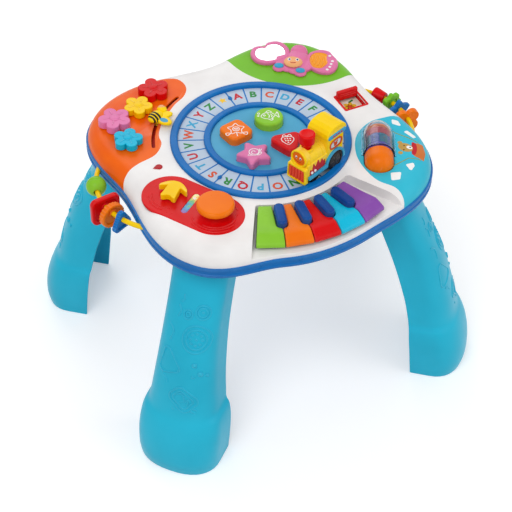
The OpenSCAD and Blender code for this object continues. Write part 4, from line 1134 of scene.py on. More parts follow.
def standing_bead(name, side, a, outline, t, drop, finish, rim=0.74, edge=2.0, sink=2.4):
    """Moulded bead that stands across the rod, with a raised rim round both its faces."""
    bead = plate(name, outline, -t / 2, t / 2, edge, 4, foot=edge)
    if rim:
        for low, high in ((t / 2 - sink, t), (-t, -t / 2 + sink)):
            carve(bead, cutter(scaled(outline, rim), low, high))
        carve(bead, cutter(ring(HOLE_R + 0.6, 40, (0, drop)), -t, t))
        low, high = 0.2 - t / 2, t / 2 - 0.2
        sleeve = turned("sleeve", [(HOLE_R, low), (HOLE_R + 2.2, low), (HOLE_R + 2.2, high), (HOLE_R, high)], 40)
        bead = joined(name, [bead, place(sleeve, (0, drop, 0))])
    else:
        carve(bead, cutter(ring(HOLE_R, 40, (0, drop)), -t, t))
    eased(bead, 0.5, 2, 50)
    place(bead, (0, 0, -drop), (90, 0, 0), inside=on_rail(side, a))
    return fit(bead, name + "_bead", finish, [name], smooth=50)


def even_line(points, n):
    """The same outline with n points at even spacing."""
    line = [Vector(p) for p in points] + [Vector(points[0])]
    runs = [(b - a).length for a, b in zip(line, line[1:])]
    total, out = sum(runs), []
    for k in range(n):
        s = total * k / n
        for a, b, run in zip(line, line[1:], runs):
            if s <= run:
                out.append(tuple(a + (b - a) * (s / run if run else 0)))
                break
            s -= run
    return out


def beads():
    rods()
    ball_line = [(4.95, -13.6)] + bent_round(0, 0, 14.5, -68, -6, 10) + [(14.0, -0.8), (13.6, 0), (14.0, 0.8)] + \
        bent_round(0, 0, 14.5, 6, 68, 10) + [(4.95, 13.6)]
    green = place(turned("green_ball", ball_line, 56), turn=(90, 0, 0), inside=on_rail("left", -17))
    fit(green, "green_ball_bead", KEY_GREEN, ["green_ball"], smooth=40)
    standing_bead("red_ring", "left", 6.5, rounded(ring(31, 4, start=45), 9, 8), 8, 6, RED, rim=0.76)
    standing_bead("orange_ring", "left", 15.5, ribbed(ring(19, 96), 0.9), 9, 5, SOFT_ORANGE, rim=0.76,
                  edge=1.2, sink=2.8)
    triangle = even_line(rounded(ring(25, 3, start=90), 7, 8), 108)
    standing_bead("blue_ring", "left", 26, ribbed(triangle, 0.9), 7, 5, BLUE, rim=0.7, edge=1.2, sink=2.0)
    cone_line = [(4.95, -11)] + bent_round(9.6, -9.6, 1.4, -90, 0, 4) + [(10.6, -6)] + \
        bent_round(7.2, 7.6, 1.4, 0, 90, 4) + [(4.95, 9)]
    cone = place(turned("red_cone", cone_line, 48), turn=(90, 0, 0), inside=on_rail("right", 27))
    fit(cone, "red_cone_bead", RED, ["red_cone"], smooth=40)
    wave = [polar(18 + 1.6 * cosd(8 * a), a) for a in range(0, 360, 3)]
    standing_bead("green_wave", "right", 15.8, wave, 8, 4, GREEN, rim=0.62)
    standing_bead("blue_star", "right", 5.8, rounded(star_points(5, 21, 13, 90), 3, 4), 8, 4, BLUE, rim=0)
    clover = []
    for k in range(120):
        phi = 3.0 * k % 90 - 45
        clover.append(polar(11.5 * cosd(phi) + math.sqrt(9.5 ** 2 - (11.5 * sind(phi)) ** 2), 3.0 * k))
    standing_bead("orange_clover", "right", -7, clover, 9, 5, SOFT_ORANGE, rim=0)


beads()


# ---- roller under its clear dome ----

ALONG_ROLLER = ((*ROLLER, 373.0), (0, 90, ROLLER_DIR))
BARREL_END, DRUM_END, DRUM_R = ROLLER_L / 2 * -1 + 34, ROLLER_L / 2 - 26, ROLLER_R - 2.5
TEAL = plastic("teal drum plastic", "1C6C80", "176274", 0.3)
DRUM_BLUE = plastic("blue drum plastic", "1F4696", "1A3C88", 0.3)
DRUM_VIOLET = plastic("violet drum plastic", "5A4FA8", "4C429A", 0.3)
DRUM_ROSE = plastic("rose drum plastic", "B8303F", "A82636", 0.3)


def clear_finish():
    """Clear moulded plastic that lets the light through to what is under it."""
    finish = speckled("clear dome", 45.0, 3.0, (tone("C4CDD6"), (0.78, 0.81, 0.85, 1)), (0.05, 0.13), 0.04, 0.0006,
                      Transmission_Weight=1.0, IOR=1.35)
    tree = finish.node_tree
    thin = add_node(tree, "ShaderNodeBsdfTransparent", Color=(0.93, 0.95, 0.97, 1))
    shadow = add_node(tree, "ShaderNodeLightPath").outputs["Is Shadow Ray"]
    choice = add_node(tree, "ShaderNodeMixShader", [("Fac", shadow), (1, tree.nodes["Principled BSDF"].outputs[0]),
                                                    (2, thin.outputs[0])])
    feed(tree, tree.nodes["Material Output"], ("Surface", choice.outputs[0]))
    return finish


DOME_CLEAR = clear_finish()


def bullet_line(r, z0, z1, nose, side, steps=10):
    tip, root = (z1, z0) if side > 0 else (z0, z1)
    return [(0, root), (r, root)] + [(r * cosd(90 * k / steps), tip - side * nose * (1 - sind(90 * k / steps)))
                                     for k in range(steps)] + [(0, tip)]


def roller():
    half = ROLLER_L / 2
    line = [(0, BARREL_END), (18.6, BARREL_END)] + bent_round(18.9, BARREL_END - 1.6, 1.6, 90, 0, 4) + \
        bullet_line(ROLLER_R, -half, BARREL_END - 1.6, 0.98 * ROLLER_R, -1, 14)[2:]
    barrel = turned("roller_barrel", line, 120)
    for vert in barrel.data.vertices:
        r = math.hypot(vert.co.x, vert.co.y) / MM
        if r > 3 and vert.co.z / MM < BARREL_END - 1:
            a = math.degrees(math.atan2(vert.co.y, vert.co.x)) % 30
            dip = 0.45 * max(0.0, 1 - abs(a - 15) / 3.0) * min(1.0, (r - 3) / 8)
            vert.co.x *= 1 - dip / r
            vert.co.y *= 1 - dip / r
    fit(place(barrel, *ALONG_ROLLER), "roller_drum", SOFT_ORANGE, ["roller"], smooth=50)

    def band(name, z0, z1, finish, r1=DRUM_R):
        line = [(3, z0), (DRUM_R - 1, z0)] + bent_round(DRUM_R - 1.0, z0 + 1.0, 1.0, -90, 0, 3) + \
            bent_round(r1 - 1.0, z1 - 1.0, 1.0, 0, 90, 3) + [(3, z1)]
        return fit(place(turned(name, line, 72), *ALONG_ROLLER), "roller_drum", finish, ["roller"], smooth=40)

    band("violet_band", -13, -6.4, DRUM_VIOLET)
    sectors = band("sector_band", -6, 12.6, TEAL)
    sectors.data.materials.append(DRUM_BLUE)
    at, turn = ALONG_ROLLER
    back = Matrix.LocRotScale(Vector(at) * MM, Euler([math.radians(t) for t in turn]), None).inverted()
    for face in sectors.data.polygons:
        p = back @ face.center
        if int((math.degrees(math.atan2(p.y, p.x)) % 360) // 45) % 2:
            face.material_index = 1
    band("rose_band", 13, DRUM_END, DRUM_ROSE)
    band("cap_cone", DRUM_END + 5, DRUM_END + 17, SOFT_ORANGE, DRUM_R - 8)
    shaft = [(0, BARREL_END - 1), (3.2, BARREL_END - 1), (3.2, DRUM_END + 6), (0, DRUM_END + 6)]
    shaft = turned("roller_shaft", shaft, 24)
    pins = [ball("pin", 1.6, (*polar(DRUM_R - 0.6, 45 * k + 22.5), 3.3), steps=12) for k in range(8)]
    fit(place(joined("roller_shaft", [shaft] + pins), *ALONG_ROLLER), "roller_drum", GREY, ["roller"])
    gap, t = 0.6, 1.6
    outer = turned("roller_bubble", bullet_line(ROLLER_R + gap + t, BARREL_END + gap, half + t, 34 + t, 1, 18), 96)
    inner = turned("cutter", bullet_line(ROLLER_R + gap, BARREL_END - 2, half, 34, 1, 18), 96)
    carve(place(outer, *ALONG_ROLLER), place(inner, *ALONG_ROLLER))
    carve(outer, block("cutter", (60, -200, 320), (240, 0, 372.05), 0.01, 1))
    eased(outer, 0.35, 2, 60)
    fit(outer, "table", DOME_CLEAR, ["roller_dome"], smooth=50, flat=False)
    rim = plate("bubble_foot", roller_area(gap + t + 2), 372.05, 373.1, 0.4, 2)
    carve(rim, cutter(roller_area(gap + 0.5), 360, 380))
    tool = cutter([(-ROLLER_L, -60), (BARREL_END + gap, -60), (BARREL_END + gap, 60), (-ROLLER_L, 60)], 360, 380)
    carve(rim, place(tool, (*ROLLER, 0), (0, 0, ROLLER_DIR)))
    fit(rim, "table", DOME_CLEAR, ["roller_dome"], smooth=50, flat=False)


roller()


# ---- prints on the sky panel ----

PAPER_WHITE = ink("printed white", "F7F6F5", "EDECEA")
OLIVE = ink("printed olive", "8E9B45", "83903B", 0.4)
TAN = ink("printed tan", "C29A4E", "B78E43", 0.4)
BASKET = ink("printed basket", "D4793A", "C76B2E", 0.4)
PRINT_DARK = ink("printed dark", "2B2622", "35302B", 0.4)


def follows_dome(name, outlines, finish, lift=0.1):
    """Print that lies on the domed panel: tiles cut out of a skin that stands just proud of it."""
    skin = domed(name, -lift, steps=12)
    under = domed("under", 1.2, drop=1.0, steps=12)
    carve(skin, under)
    carve(skin, joined("tiles", [cutter(line, 345, 400) for line in outlines]), "INTERSECT")
    return fit(named(name, skin), "table", finish, smooth=40, flat=False)


def strip(points, w):
    """Outline of a strip w wide along a bent line."""
    path = [Vector(p) for p in points]
    along = [(b - a).normalized() for a, b in zip([path[0]] + path[:-1], path[1:] + [path[-1]])]
    half = [Vector((-u.y, u.x)) * w / 2 for u in along]
    right = [tuple(p - s) for p, s in zip(path, half)]
    return right + [tuple(p + s) for p, s in zip(path[::-1], half[::-1])]


def sky_prints():
    clouds = [[(191.3, -41.6), (198.5, -48.5), (196.6, -62.8), (187.3, -51.3)],
              [(192.8, -74.3), (199.2, -73.3), (204.8, -90.4), (198.6, -92.4)],
              [(158.6, -138.0), (170.8, -139.3), (168.6, -146.2), (158.2, -153.7)],
              [(130.6, -144.6), (145.2, -149.4), (135.7, -162.2), (123.4, -159.2)]]
    follows_dome("cloud_prints", [rounded(c, 2.0, 4) for c in clouds], PAPER_WHITE)
    ropes = [strip(((174.5, -62), (191.5, -88), (200.5, -104)), 1.5),
             strip(((141.5, -133.5), (170, -128), (184, -138)), 1.5)]
    follows_dome("rope_prints", ropes, OLIVE)
    basket = rounded([(190.5, -101), (205.5, -107.5), (199, -126), (187.5, -140.5), (179, -127.5)], 1.6, 3)
    follows_dome("basket_print", [basket], BASKET)
    collar = smooth_line([(191.5, -100), (195, -105), (190.5, -116), (182, -125.5), (178.6, -122.5), (184, -112)], 4)
    follows_dome("collar_print", [collar], LABEL_RED, 0.16)
    follows_dome("head_print", [moved(ellipse(11.2, 8.6, 36), (177.5, -105.8), -62)], TAN, 0.2)
    follows_dome("ear_prints", [ring(3.4, 20, at) for at in ((175.6, -93.2), (165.2, -112.8))], TAN, 0.22)
    follows_dome("muzzle_print", [moved(ellipse(4.6, 3.4, 24), (182.4, -108.4), -62)], PAPER_WHITE, 0.26)
    dots = ((1.1, (177.6, -101.6)), (1.1, (172.8, -109.2)), (1.3, (183.4, -108.8)))
    follows_dome("eye_prints", [ring(r, 14, at) for r, at in dots], PRINT_DARK, 0.32)


sky_prints()


# ---- train ----

SLAT_RED = plastic("slat red plastic", "F8502C", "F04624", 0.32)
PANE = plastic("printed pane", "BFE0E6", "DCEBE8", 0.4, rub=0.0, cloud=120.0)

TRAIN = Matrix.Rotation(math.radians(202), 4, "Z") @ Matrix.Translation((0, 0.1, 0))
REAR_WHEEL, FRONT_WHEEL = (-22, 386.3, 15.0), (19, 383.3, 12.0)
BOILER_Z, CAB_EAVE, FACE_Z = 408.0, 432.0, 413.5
LYING = (0, 90, 0)


def on_train(name, parts, finish, node="train_body", smooth=50, body="train"):
    """Joins the parts, sets them on the train and fits them."""
    return fit(place(joined(name, parts), inside=TRAIN), body, finish, [node], smooth=smooth)


def standing(name, outline, y0, y1, edge=1.0, steps=3):
    """Plate with its outline in X and Z, from y0 to y1."""
    return place(plate(name, outline, -y1, -y0, edge, steps, foot=edge), turn=(90, 0, 0))


def facing(name, outline, x0, x1, edge=0.8, steps=3):
    """Plate with its outline in Y and Z, from x0 to x1."""
    return place(plate(name, outline, x0, x1, edge, steps), turn=(90, 0, 90))


def across(name, x, z, r, half, steps):
    """Round bar of radius r across the train."""
    return place(turned(name, [(0, -half), (r, -half), (r, half), (0, half)], steps), (x, 0, z), (90, 0, 0))


def both_sides(bit):
    """A side piece and its mirror image on the other side of the train."""
    other = copied(bit)
    other.data.transform(Matrix.Scale(-1, 4, (0, 1, 0)))
    return [bit, faced_out(other)]


def oval(x, z, half_x, half_z):
    """Rounded window outline in X and Z."""
    return [(x + half_x * math.copysign(abs(c) ** 0.75, c), z + half_z * math.copysign(abs(s) ** 0.75, s))
            for c, s in ring(1, 40)]


CAB_WINDOW, CHIMNEY_X = (-23, 415.6), 20


def train_body():
    cab = standing("cab", box_area(-40, 383.6, -5, CAB_EAVE + 3, 2.5, 4), -17, 17, 2.4)
    base = standing("base", box_area(-8, 383.6, 34, BOILER_Z, 2.0, 4), -16.5, 16.5, 2.0)
    barrel = turned("barrel", [(0, -9), (15, -9), (15, 30.5)] + bent_round(11.5, 30.5, 3.5, 0, 90, 5) + [(0, 34)], 64)
    place(barrel, (0, 0, BOILER_Z), LYING)
    neck = turned("neck", [(0, 417), (9.8, 417), (9.8, 423.4)] + bent_round(8.8, 424.2, 1.0, 0, 90, 3) +
                  [(7.2, 425), (7.2, 419), (0, 419)], 48)
    place(neck, (CHIMNEY_X, 0, 0))
    for piece in (cab, base):
        carve(piece, joined("rooms", [across("room", x, z, r + 1.2, 40, 64) for x, z, r in (REAR_WHEEL, FRONT_WHEEL)]))
        carve(piece, block("spine_room", (-60, -4.6, 370), (60, 4.6, 391.2), 0.01, 1))
        eased(piece, 0.4, 2, 60)
    for tool in both_sides(standing("cutter", oval(*CAB_WINDOW, 12.0, 6.8), 16.2, 30, 0)):
        carve(cab, tool)
    hoop = turned("hoop", [(14, -0.9)] + bent_round(15.0, 0, 0.9, -90, 90, 5) + [(14, 0.9)], 64)
    hoops = [place(copied(hoop), (x, 0, BOILER_Z), LYING) for x in (1.5, 29.5)]
    bpy.data.objects.remove(hoop)
    head = turned("face_rim", [(10.6, 33), (13.4, 33)] + bent_round(12.2, 35.6, 1.6, 0, 180, 8), 48)
    brow = turned("brow", [(0, 26), (13.2, 26), (13.2, 34), (0, 34.4)], 48)
    for piece in (head, brow):
        place(piece, (0, 0, FACE_Z), LYING)
    on_train("train_shell", [cab, base, barrel, neck, head, brow] + hoops, TRAIN_YELLOW, smooth=45)
    line = moved([(-42.4, -1), (-43, 2.5), (-41.8, 7.4), (-38, 11.6), (-31.6, 14.2), (-23, 15), (-14, 14.2),
                  (-7.4, 11.6), (-3.2, 7.4), (-1.9, 2.5), (-2.4, -1)], (0, CAB_EAVE))
    on_train("train_roof", [standing("roof", rounded(line, 0.8, 2), -18.2, 18.2, 2.2, 4)], TRAIN_YELLOW)
    eave = standing("eave", moved(stadium((-15.2, 0), (15.2, 0), 3.5, 8), (-22.6, CAB_EAVE + 0.8)), 17.0, 19.4, 0.9, 3)
    on_train("eave_strips", both_sides(eave), LABEL_SKY)
    marks = []
    for k in range(4):
        line = moved(stadium((-1.1, 0), (1.1, 0), 1.1, 5), (-30.7 + 5.4 * k, CAB_EAVE + 0.8))
        marks += both_sides(standing("mark", line, 19.1, 19.7, 0.2, 1))
    on_train("eave_marks", marks, LABEL_RED, smooth=35)


def train_trim():
    disc = place(turned("face_disc", [(0, 33.8), (11.2, 33.8), (11.2, 35.0), (9.6, 35.8), (6, 36.6), (0, 37.0)], 48),
                 (0, 0, FACE_Z), LYING)
    on_train("face_disc", [disc], SOFT_ORANGE)
    eyes = [ball("eye", 2.3, (36.4, y, FACE_Z + 2.0), (0.35, 0.85, 1.1), steps=16) for y in (-3.6, 3.6)]
    on_train("train_eyes", eyes, LINE_WHITE, smooth=60)
    pupils = [ball("pupil", 1.2, (37.0, y, FACE_Z + 1.6), (0.35, 0.9, 1.0), steps=12) for y in (-3.2, 4.0)]
    on_train("train_pupils", pupils, DARK, smooth=60)
    bow = [(36.5, 5.0 * math.sin(t * 0.22), FACE_Z - 2.6 - 2.2 * math.cos(t * 0.22)) for t in range(-5, 6)]
    on_train("train_smile", [wire("smile", bow, 0.5, False, 2)], LABEL_RED, smooth=60)


def train_frame():
    """Frame with slats in front of the boiler, wheel arches and the spine that holds the axles."""
    frame_line = rounded([(-17, 376.4), (17, 376.4), (15.8, 402.8), (-15.8, 402.8)], 2.4, 4)
    front = facing("front_frame", frame_line, 34, 40.2, 1.2, 3)
    well = rounded([(-14.4, 379), (14.4, 379), (13.4, 399.6), (-13.4, 399.6)], 1.4, 4)
    carve(front, facing("cutter", well, 37.6, 50, 0))
    eased(front, 0.4, 2, 60)
    on_train("front_frame", [front], TRAIN_YELLOW, "train_chassis")
    slats = [facing("slat_bed", [(y * 0.99, 389.3 + (z - 389.3) * 0.99) for y, z in well], 37.0, 38.0, 0)]
    for k in range(-2, 3):
        slats.append(facing("slat", box_area(5.1 * k - 1.6, 380.4, 5.1 * k + 1.6, 398.2, 1.2, 3), 37.4, 40.4, 0.9, 3))
    on_train("front_slats", slats, SLAT_RED, "train_chassis")
    hub, r = REAR_WHEEL[:2], REAR_WHEEL[2]
    line = [polar(r + 5.2, a, hub) for a in range(186, 11, -6)] + [(2.0, 389.0), (34, 388.6), (34, 0), (-5.4, 0)]
    line += [polar(r + 1.3, a, hub) for a in range(-12, 193, 6)]
    line = [(x, max(z, 383.7)) for x, z in line]
    keep = [line[0]]
    for p in line[1:]:
        if (Vector(p) - Vector(keep[-1])).length > 0.3:
            keep.append(p)
    arches = both_sides(standing("arch", keep, 16.6, 20.0, 0.8, 3))
    spine = block("spine", (-40, -4, 377), (34, 4, 390.4), 0.8, 2)
    carve(spine, joined("bores", [across("bore", x, z, 2.6, 9, 24) for x, z, r in (REAR_WHEEL, FRONT_WHEEL)]))
    on_train("wheel_arches", arches + [spine], LABEL_SKY, "train_chassis")


def train_sides():
    line = rounded([(-1.5, 389.6), (31, 389.2), (30.2, 399.4), (26, 396), (23.6, 407), (18.6, 398.6), (13.6, 408.4),
                    (9.6, 399), (5.6, 406), (1.6, 398.4), (-1.4, 401.6)], 0.7, 3)
    on_train("side_flames", both_sides(standing("flame", line, 16.0, 17.2, 0.3, 2)), LABEL_RED)
    bolts = []
    for x in (27, 20.4):
        bolt = turned("bolt", [(0, 0), (2.1, 0)] + bent_round(1.5, 0.8, 0.6, 0, 90, 4) + [(0, 1.5)], 20)
        bolts += both_sides(place(bolt, (x, 17.3, 393.0), (-90, 0, 0)))
    on_train("side_bolts", bolts, LINE_WHITE)
    pane = standing("pane", oval(*CAB_WINDOW, 11.8, 6.6), 15.8, 16.5, 0.1, 1)
    on_train("cab_panes", both_sides(pane), PANE)
    rim = standing("rim", oval(*CAB_WINDOW, 13.4, 8.2), 16.6, 17.9, 0.4, 2)
    carve(rim, standing("cutter", oval(*CAB_WINDOW, 11.2, 6.0), 10, 30, 0))
    on_train("pane_rims", both_sides(rim), LABEL_ORANGE)
    x, z = CAB_WINDOW
    sitter = [standing("sitter", ring(3.6, 24, (x, z - 1.4)), 16.3, 17.2, 0.4, 2)]
    sitter += [standing("sitter", ring(1.5, 16, (x + side, z + 2.0)), 16.3, 17.0, 0.3, 2) for side in (-3.2, 3.2)]
    on_train("pane_prints", both_sides(joined("sitter", sitter)), LABEL_ORANGE)


def train_chimney():
    line = [(0, 415.2), (5.8, 415.2), (5.8, 427), (6.6, 430), (8.0, 432.0)] + bent_round(9.2, 434.8, 1.8, -70, 0, 4) + \
        bent_round(9.4, 446.6, 2.0, 0, 90, 5) + [(8.4, 448.9), (7.6, 448.3), (0, 448.1)]
    cap = place(turned("cap", line, 64), (CHIMNEY_X, 0, 0))
    on_train("chimney", [cap], TRAIN_RED, "train_chimney", body="chimney")


def wheels():
    for name, (x, z, r), out in (("rear", REAR_WHEEL, 19.6), ("front", FRONT_WHEEL, 16.2)):
        tyres, hubs = [], []
        for side in (-1, 1):
            spot = (x, side * out, z), (-90 * side, 0, 0)
            line = [(2.2, -7)] + bent_round(r - 1.0, -6.0, 1.0, -90, 0, 4) + [(r, -4.2), (r - 0.5, -3.6), (r, -3.0)] + \
                bent_round(r - 1.0, -1.0, 1.0, 0, 90, 4) + [(r - 3.4, 0), (r - 4.0, -1.2), (2.2, -1.2)]
            tyres.append(place(turned("tyre", line, 56), *spot))
            hub = turned("hub", [(0, -1.4), (r - 4.4, -1.4), (r - 4.4, -0.6), (r - 5.2, -0.3), (3.4, -0.6), (3.0, 0.0),
                                 (1.8, 0.3), (0, 0.4)], 40)
            spokes = [place(block("spoke", (2.4, -0.9, -1.2), (r - 4.6, 0.9, -0.1), 0.3, 2), turn=(0, 0, 60 * k))
                      for k in range(6)]
            hubs.append(place(joined("hub", [hub] + spokes), *spot))
        on_train(name + "_tyres", tyres, TYRE, name + "_wheels", 40, name + "_axle")
        hubs.append(across("axle", x, z, 2.0, 15, 24))
        on_train(name + "_hubs", hubs, HUB, name + "_wheels", 40, name + "_axle")


train_body()
train_trim()
train_frame()
train_sides()
train_chimney()
wheels()


# ---- butterfly ----

WING_PINK = plastic("butterfly pink plastic", "E47DAB", "DC72A2", 0.32)

BUTTERFLY = Matrix.Translation(Vector((126, 133, 372)) * MM) @ Matrix.Rotation(math.radians(-31), 4, "Z")
WING_AT = [(-42, 22), (38, 8)]
WING_LINES = [
    smooth_line([(-30, -3), (-27, 10), (-18.5, 15.5), (-10.5, 16.5), (-6, 26), (7, 31), (19, 26.5), (28, 14),
                 (30.5, -1.5), (25, -12), (17, -18), (8, -24), (-4, -27.5), (-17.5, -24.5), (-26, -15.5)]),
    smooth_line([(-22, 15), (-16, 24), (-3, 30), (10, 27), (16, 18), (23, 7), (25, -6), (20.5, -20), (11, -27.5),
                 (-2, -27), (-13, -20), (-21, -8)])]
WELL_LINES = [scaled(WING_LINES[0], 0.77),
              smooth_line([(-19, 3), (-14.5, 17), (-4.5, 21.5), (7, 18), (6, 7), (9, -4), (2.5, -16.5), (-5.5, -19),
                           (-14, -15)])]


def on_butterfly(name, parts, finish, nodes=(), smooth=60, flat=True):
    """Joins the parts, sets them on the butterfly and fits them."""
    return fit(place(joined(name, parts), inside=BUTTERFLY), "table", finish, nodes, smooth, flat)


def dome_bump(x, y, r, h, foot=0.0):
    line = [(0, foot), (r - 1, foot)] + [(r * cosd(a) ** 0.7 if a < 90 else 0, foot + 1 + (h - 1 - foot) * sind(a))
                                         for a in range(0, 91, 10)]
    return place(turned("bump", line, 48), (x, y, 0))


def butterfly():
    wings = []
    for at, line, well in zip(WING_AT, WING_LINES, WELL_LINES):
        wing = plate("wing", moved(line, at), 0, 5.6, 2.6, 6, foot=0.6)
        carve(wing, cutter(moved(well, at), 3.5, 30))
        wings.append(eased(wing, 0.9, 3, 60))
    on_butterfly("butterfly_wings", wings, WING_PINK, ["butterfly"], 45)
    joint = [(-32, -12), (-32, 14), (-14, 24), (16, 24), (26, 14), (26, -8), (8, -25)]
    bumps = [(-3, 3, 17.5, 9.5), (2, 29, 14.0, 13.5), (0, 14, 17.0, 11.5), (-26, -11, 9.8, 6.2), (7, -20, 9.8, 6.2),
             (-13, -11, 9, 5.5), (-3, -15, 9, 5.5)]
    parts = [dome_bump(*bump) for bump in bumps]
    parts.insert(3, plate("joint", rounded(joint, 3, 4), 0, 5.0, 1.2, 3))
    body = melted("body", parts, 0.7, 10)
    on_butterfly("butterfly_body", [body], WING_PINK, ["butterfly"], 70, False)
    glass = plate("glass", moved(scaled(WELL_LINES[0], 0.985), WING_AT[0]), 3.5, 4.4, 0.3, 2)
    silver = speckled("play mirror", 70.0, 4.0, ((0.95, 0.96, 0.97, 1), (0.90, 0.91, 0.93, 1)), (0.05, 0.22), 0.03,
                      0.0005, Metallic=0.85)
    on_butterfly("butterfly_mirror", [glass], silver, ["butterfly_mirror"], 35)
    pad = plate("ribbed_insert", moved(scaled(WELL_LINES[1], 0.985), WING_AT[1]), 3.5, 5.6, 0.6, 3)
    ribs = []
    for k in range(5):
        x = 22.5 + 5.6 * k
        line = smooth_line([(x - 1.5, 22.5 - 1.2 * abs(k - 1)), (x + 1.4, 9), (x - 1.8, -4 - k * 0.6)], 6, False)
        line = [(*p, 5.4) for p in line if inside_outline(p, moved(scaled(WELL_LINES[1], 0.88), WING_AT[1]))]
        if len(line) > 2:
            ribs.append(wire("rib", line, 1.3, False, 3))
    edge = moved(scaled(WELL_LINES[1], 0.9), WING_AT[1])
    ribs.append(wire("rib", [(x, y, 5.4) for x, y in edge], 1.0, True, 3))
    amber = plastic("amber insert plastic", "F9A826", "F29A1C", 0.3)
    on_butterfly("ribbed_insert", [pad] + ribs, amber, ["butterfly_insert"], 50)
    spots = [ball("spot", 2.5, (x, y, 5.2), (1, 1, 0.55), steps=16)
             for x, y in ((52.5, 1.5), (50.8, -6.0), (47.2, -13.0), (49.5, 22.0), (54.2, 9.0))]
    on_butterfly("wing_spots", spots, LINE_WHITE)
    face = dome_bump(-5, -2, 12.6, 11.8, 6.0)
    face.data.transform(Matrix.Translation((-5 * MM, -3 * MM, 0)) @ Matrix.Diagonal((1.14, 1.06, 1, 1)) @
                        Matrix.Translation((5 * MM, 3 * MM, 0)))
    on_butterfly("butterfly_face", [face], PEACH)
    eyes = [ball("eye", 3.1, (x, -1.0, 11.4), (0.9, 1.15, 0.4), steps=16) for x in (-11.0, 1.0)]
    pupils = [ball("pupil", 1.8, (x, -1.8, 12.4), (0.9, 1.1, 0.35), steps=12) for x in (-10.7, 1.3)]
    on_butterfly("face_eyes", eyes, LINE_WHITE)
    on_butterfly("face_pupils", pupils, ink("printed navy", "24466F", "1E3C60"))
    bow = [(-5 + 4.2 * math.sin(t * 0.24), -7.4 - 1.6 * math.cos(t * 0.24), 11.6) for t in range(-5, 6)]
    on_butterfly("face_smile", [wire("smile", bow, 0.45, False, 2)], LABEL_RED)
    pads = [ball("pad", 6.4, (x, y, 6.2), (1.15, 0.95, 0.34), steps=20) for x, y in ((-26, -11.0), (7, -20.0))]
    on_butterfly("foot_pads", pads, LABEL_SKY)


def inside_outline(p, points):
    """Whether the point p lies inside the outline."""
    hit = False
    for (x0, y0), (x1, y1) in zip(points, points[1:] + points[:1]):
        if (y0 > p[1]) != (y1 > p[1]) and p[0] < (x1 - x0) * (p[1] - y0) / (y1 - y0) + x0:
            hit = not hit
    return hit


butterfly()


# ---- bee ----

BEE = Matrix.Rotation(math.radians(BEE_DIR), 4, "Z") @ Matrix.Translation((BEE_R * MM, 0, 0))


def on_bee(name, parts, finish, smooth=60):
    """Joins the parts, sets them on the bee and fits them."""
    return fit(place(joined(name, parts), inside=BEE), "bee_slider", finish, ["bee"], smooth=smooth)


def bee():
    body = ball("bee_body", 9.4, (0, 0, 0), (1, 0.92, 1.42), steps=48)
    place(body, turn=(90, 0, 0))
    body.data.materials.append(TRAIN_YELLOW)
    body.data.materials.append(DARK)
    for face in body.data.polygons:
        y = face.center.y / MM
        if -0.9 < y < 1.1 or 4.0 < y < 6.2 or 8.6 < y < 10.6:
            face.material_index = 1
    place(body, (2.5, 1.5, 380.4), (0, 0, -22), (1, 1, 0.85))
    fit(body, "bee_slider", None, ["bee"], smooth=60, flat=False)
    place(body, inside=BEE)
    head = ball("head", 7.0, (-1.8, -16.4, 380.6), (1.05, 0.92, 0.9), steps=32)
    foot = [(0, 372.3), (7.0, 372.3)] + bent_round(6.6, 373.3, 1.0, -60, 60, 4) + [(5.0, 376), (0, 376)]
    foot = turned("foot", foot, 40)
    post = turned("post", [(0, 366.7), (5, 366.7), (5, 368.6), (2.4, 368.7), (2.4, 374), (0, 374)], 28)
    wings = []
    for at, turn, size in (((-9.5, -7.5), 28, (9.6, 7.0)), ((-12.5, 6.5), -18, (10.8, 8.2))):
        lobe = [(x - 1.2 * cosd(15 * t), y) for t, (x, y) in enumerate(ellipse(*size, 48))]
        wings.append(plate("wing", moved(lobe, at, turn), 377.6, 381.8, 1.6, 5, foot=1.2))
    on_bee("bee_wings", wings + [head, foot, post], TRAIN_YELLOW, 50)
    patch = plate("patch", moved(ellipse(6.6, 4.4, 32), (-12.0, 7.5), -18), 381.4, 382.1, 0.3, 2)
    on_bee("wing_patch", [patch], SKY_LABEL, 35)
    # Painted shading: the peach cap stands in for how the light falls on the top of the yellow head; the eyes sit on it
    on_bee("bee_head_shading_patch", [ball("cap", 5.4, (-1.4, -17.0, 384.2), (1.0, 0.85, 0.55))], PEACH)
    dots = [ball("dot", 0.95, (x, y, 386.2), (1, 1, 0.5), steps=10) for x, y in ((-4.0, -18.6), (0.6, -19.4))]
    on_bee("bee_eyes", dots, DARK)
    line = [(*polar(BEE_R, a), 365.2) for a in range(BEE_FROM - 2, BEE_TO + 3, 3)]
    lining = wire("slot_lining", line, 7.0, False, 3)
    lining.data.transform(Matrix.Translation((0, 0, 364.0 * MM)) @ Matrix.Diagonal((1, 1, 0.12, 1)) @
                          Matrix.Translation((0, 0, -365.2 * MM)))
    fit(lining, "table", plastic("maroon slot lining", "C0281C", "B02014", 0.5), smooth=60)


bee()


# ---- picture with its sliding door ----


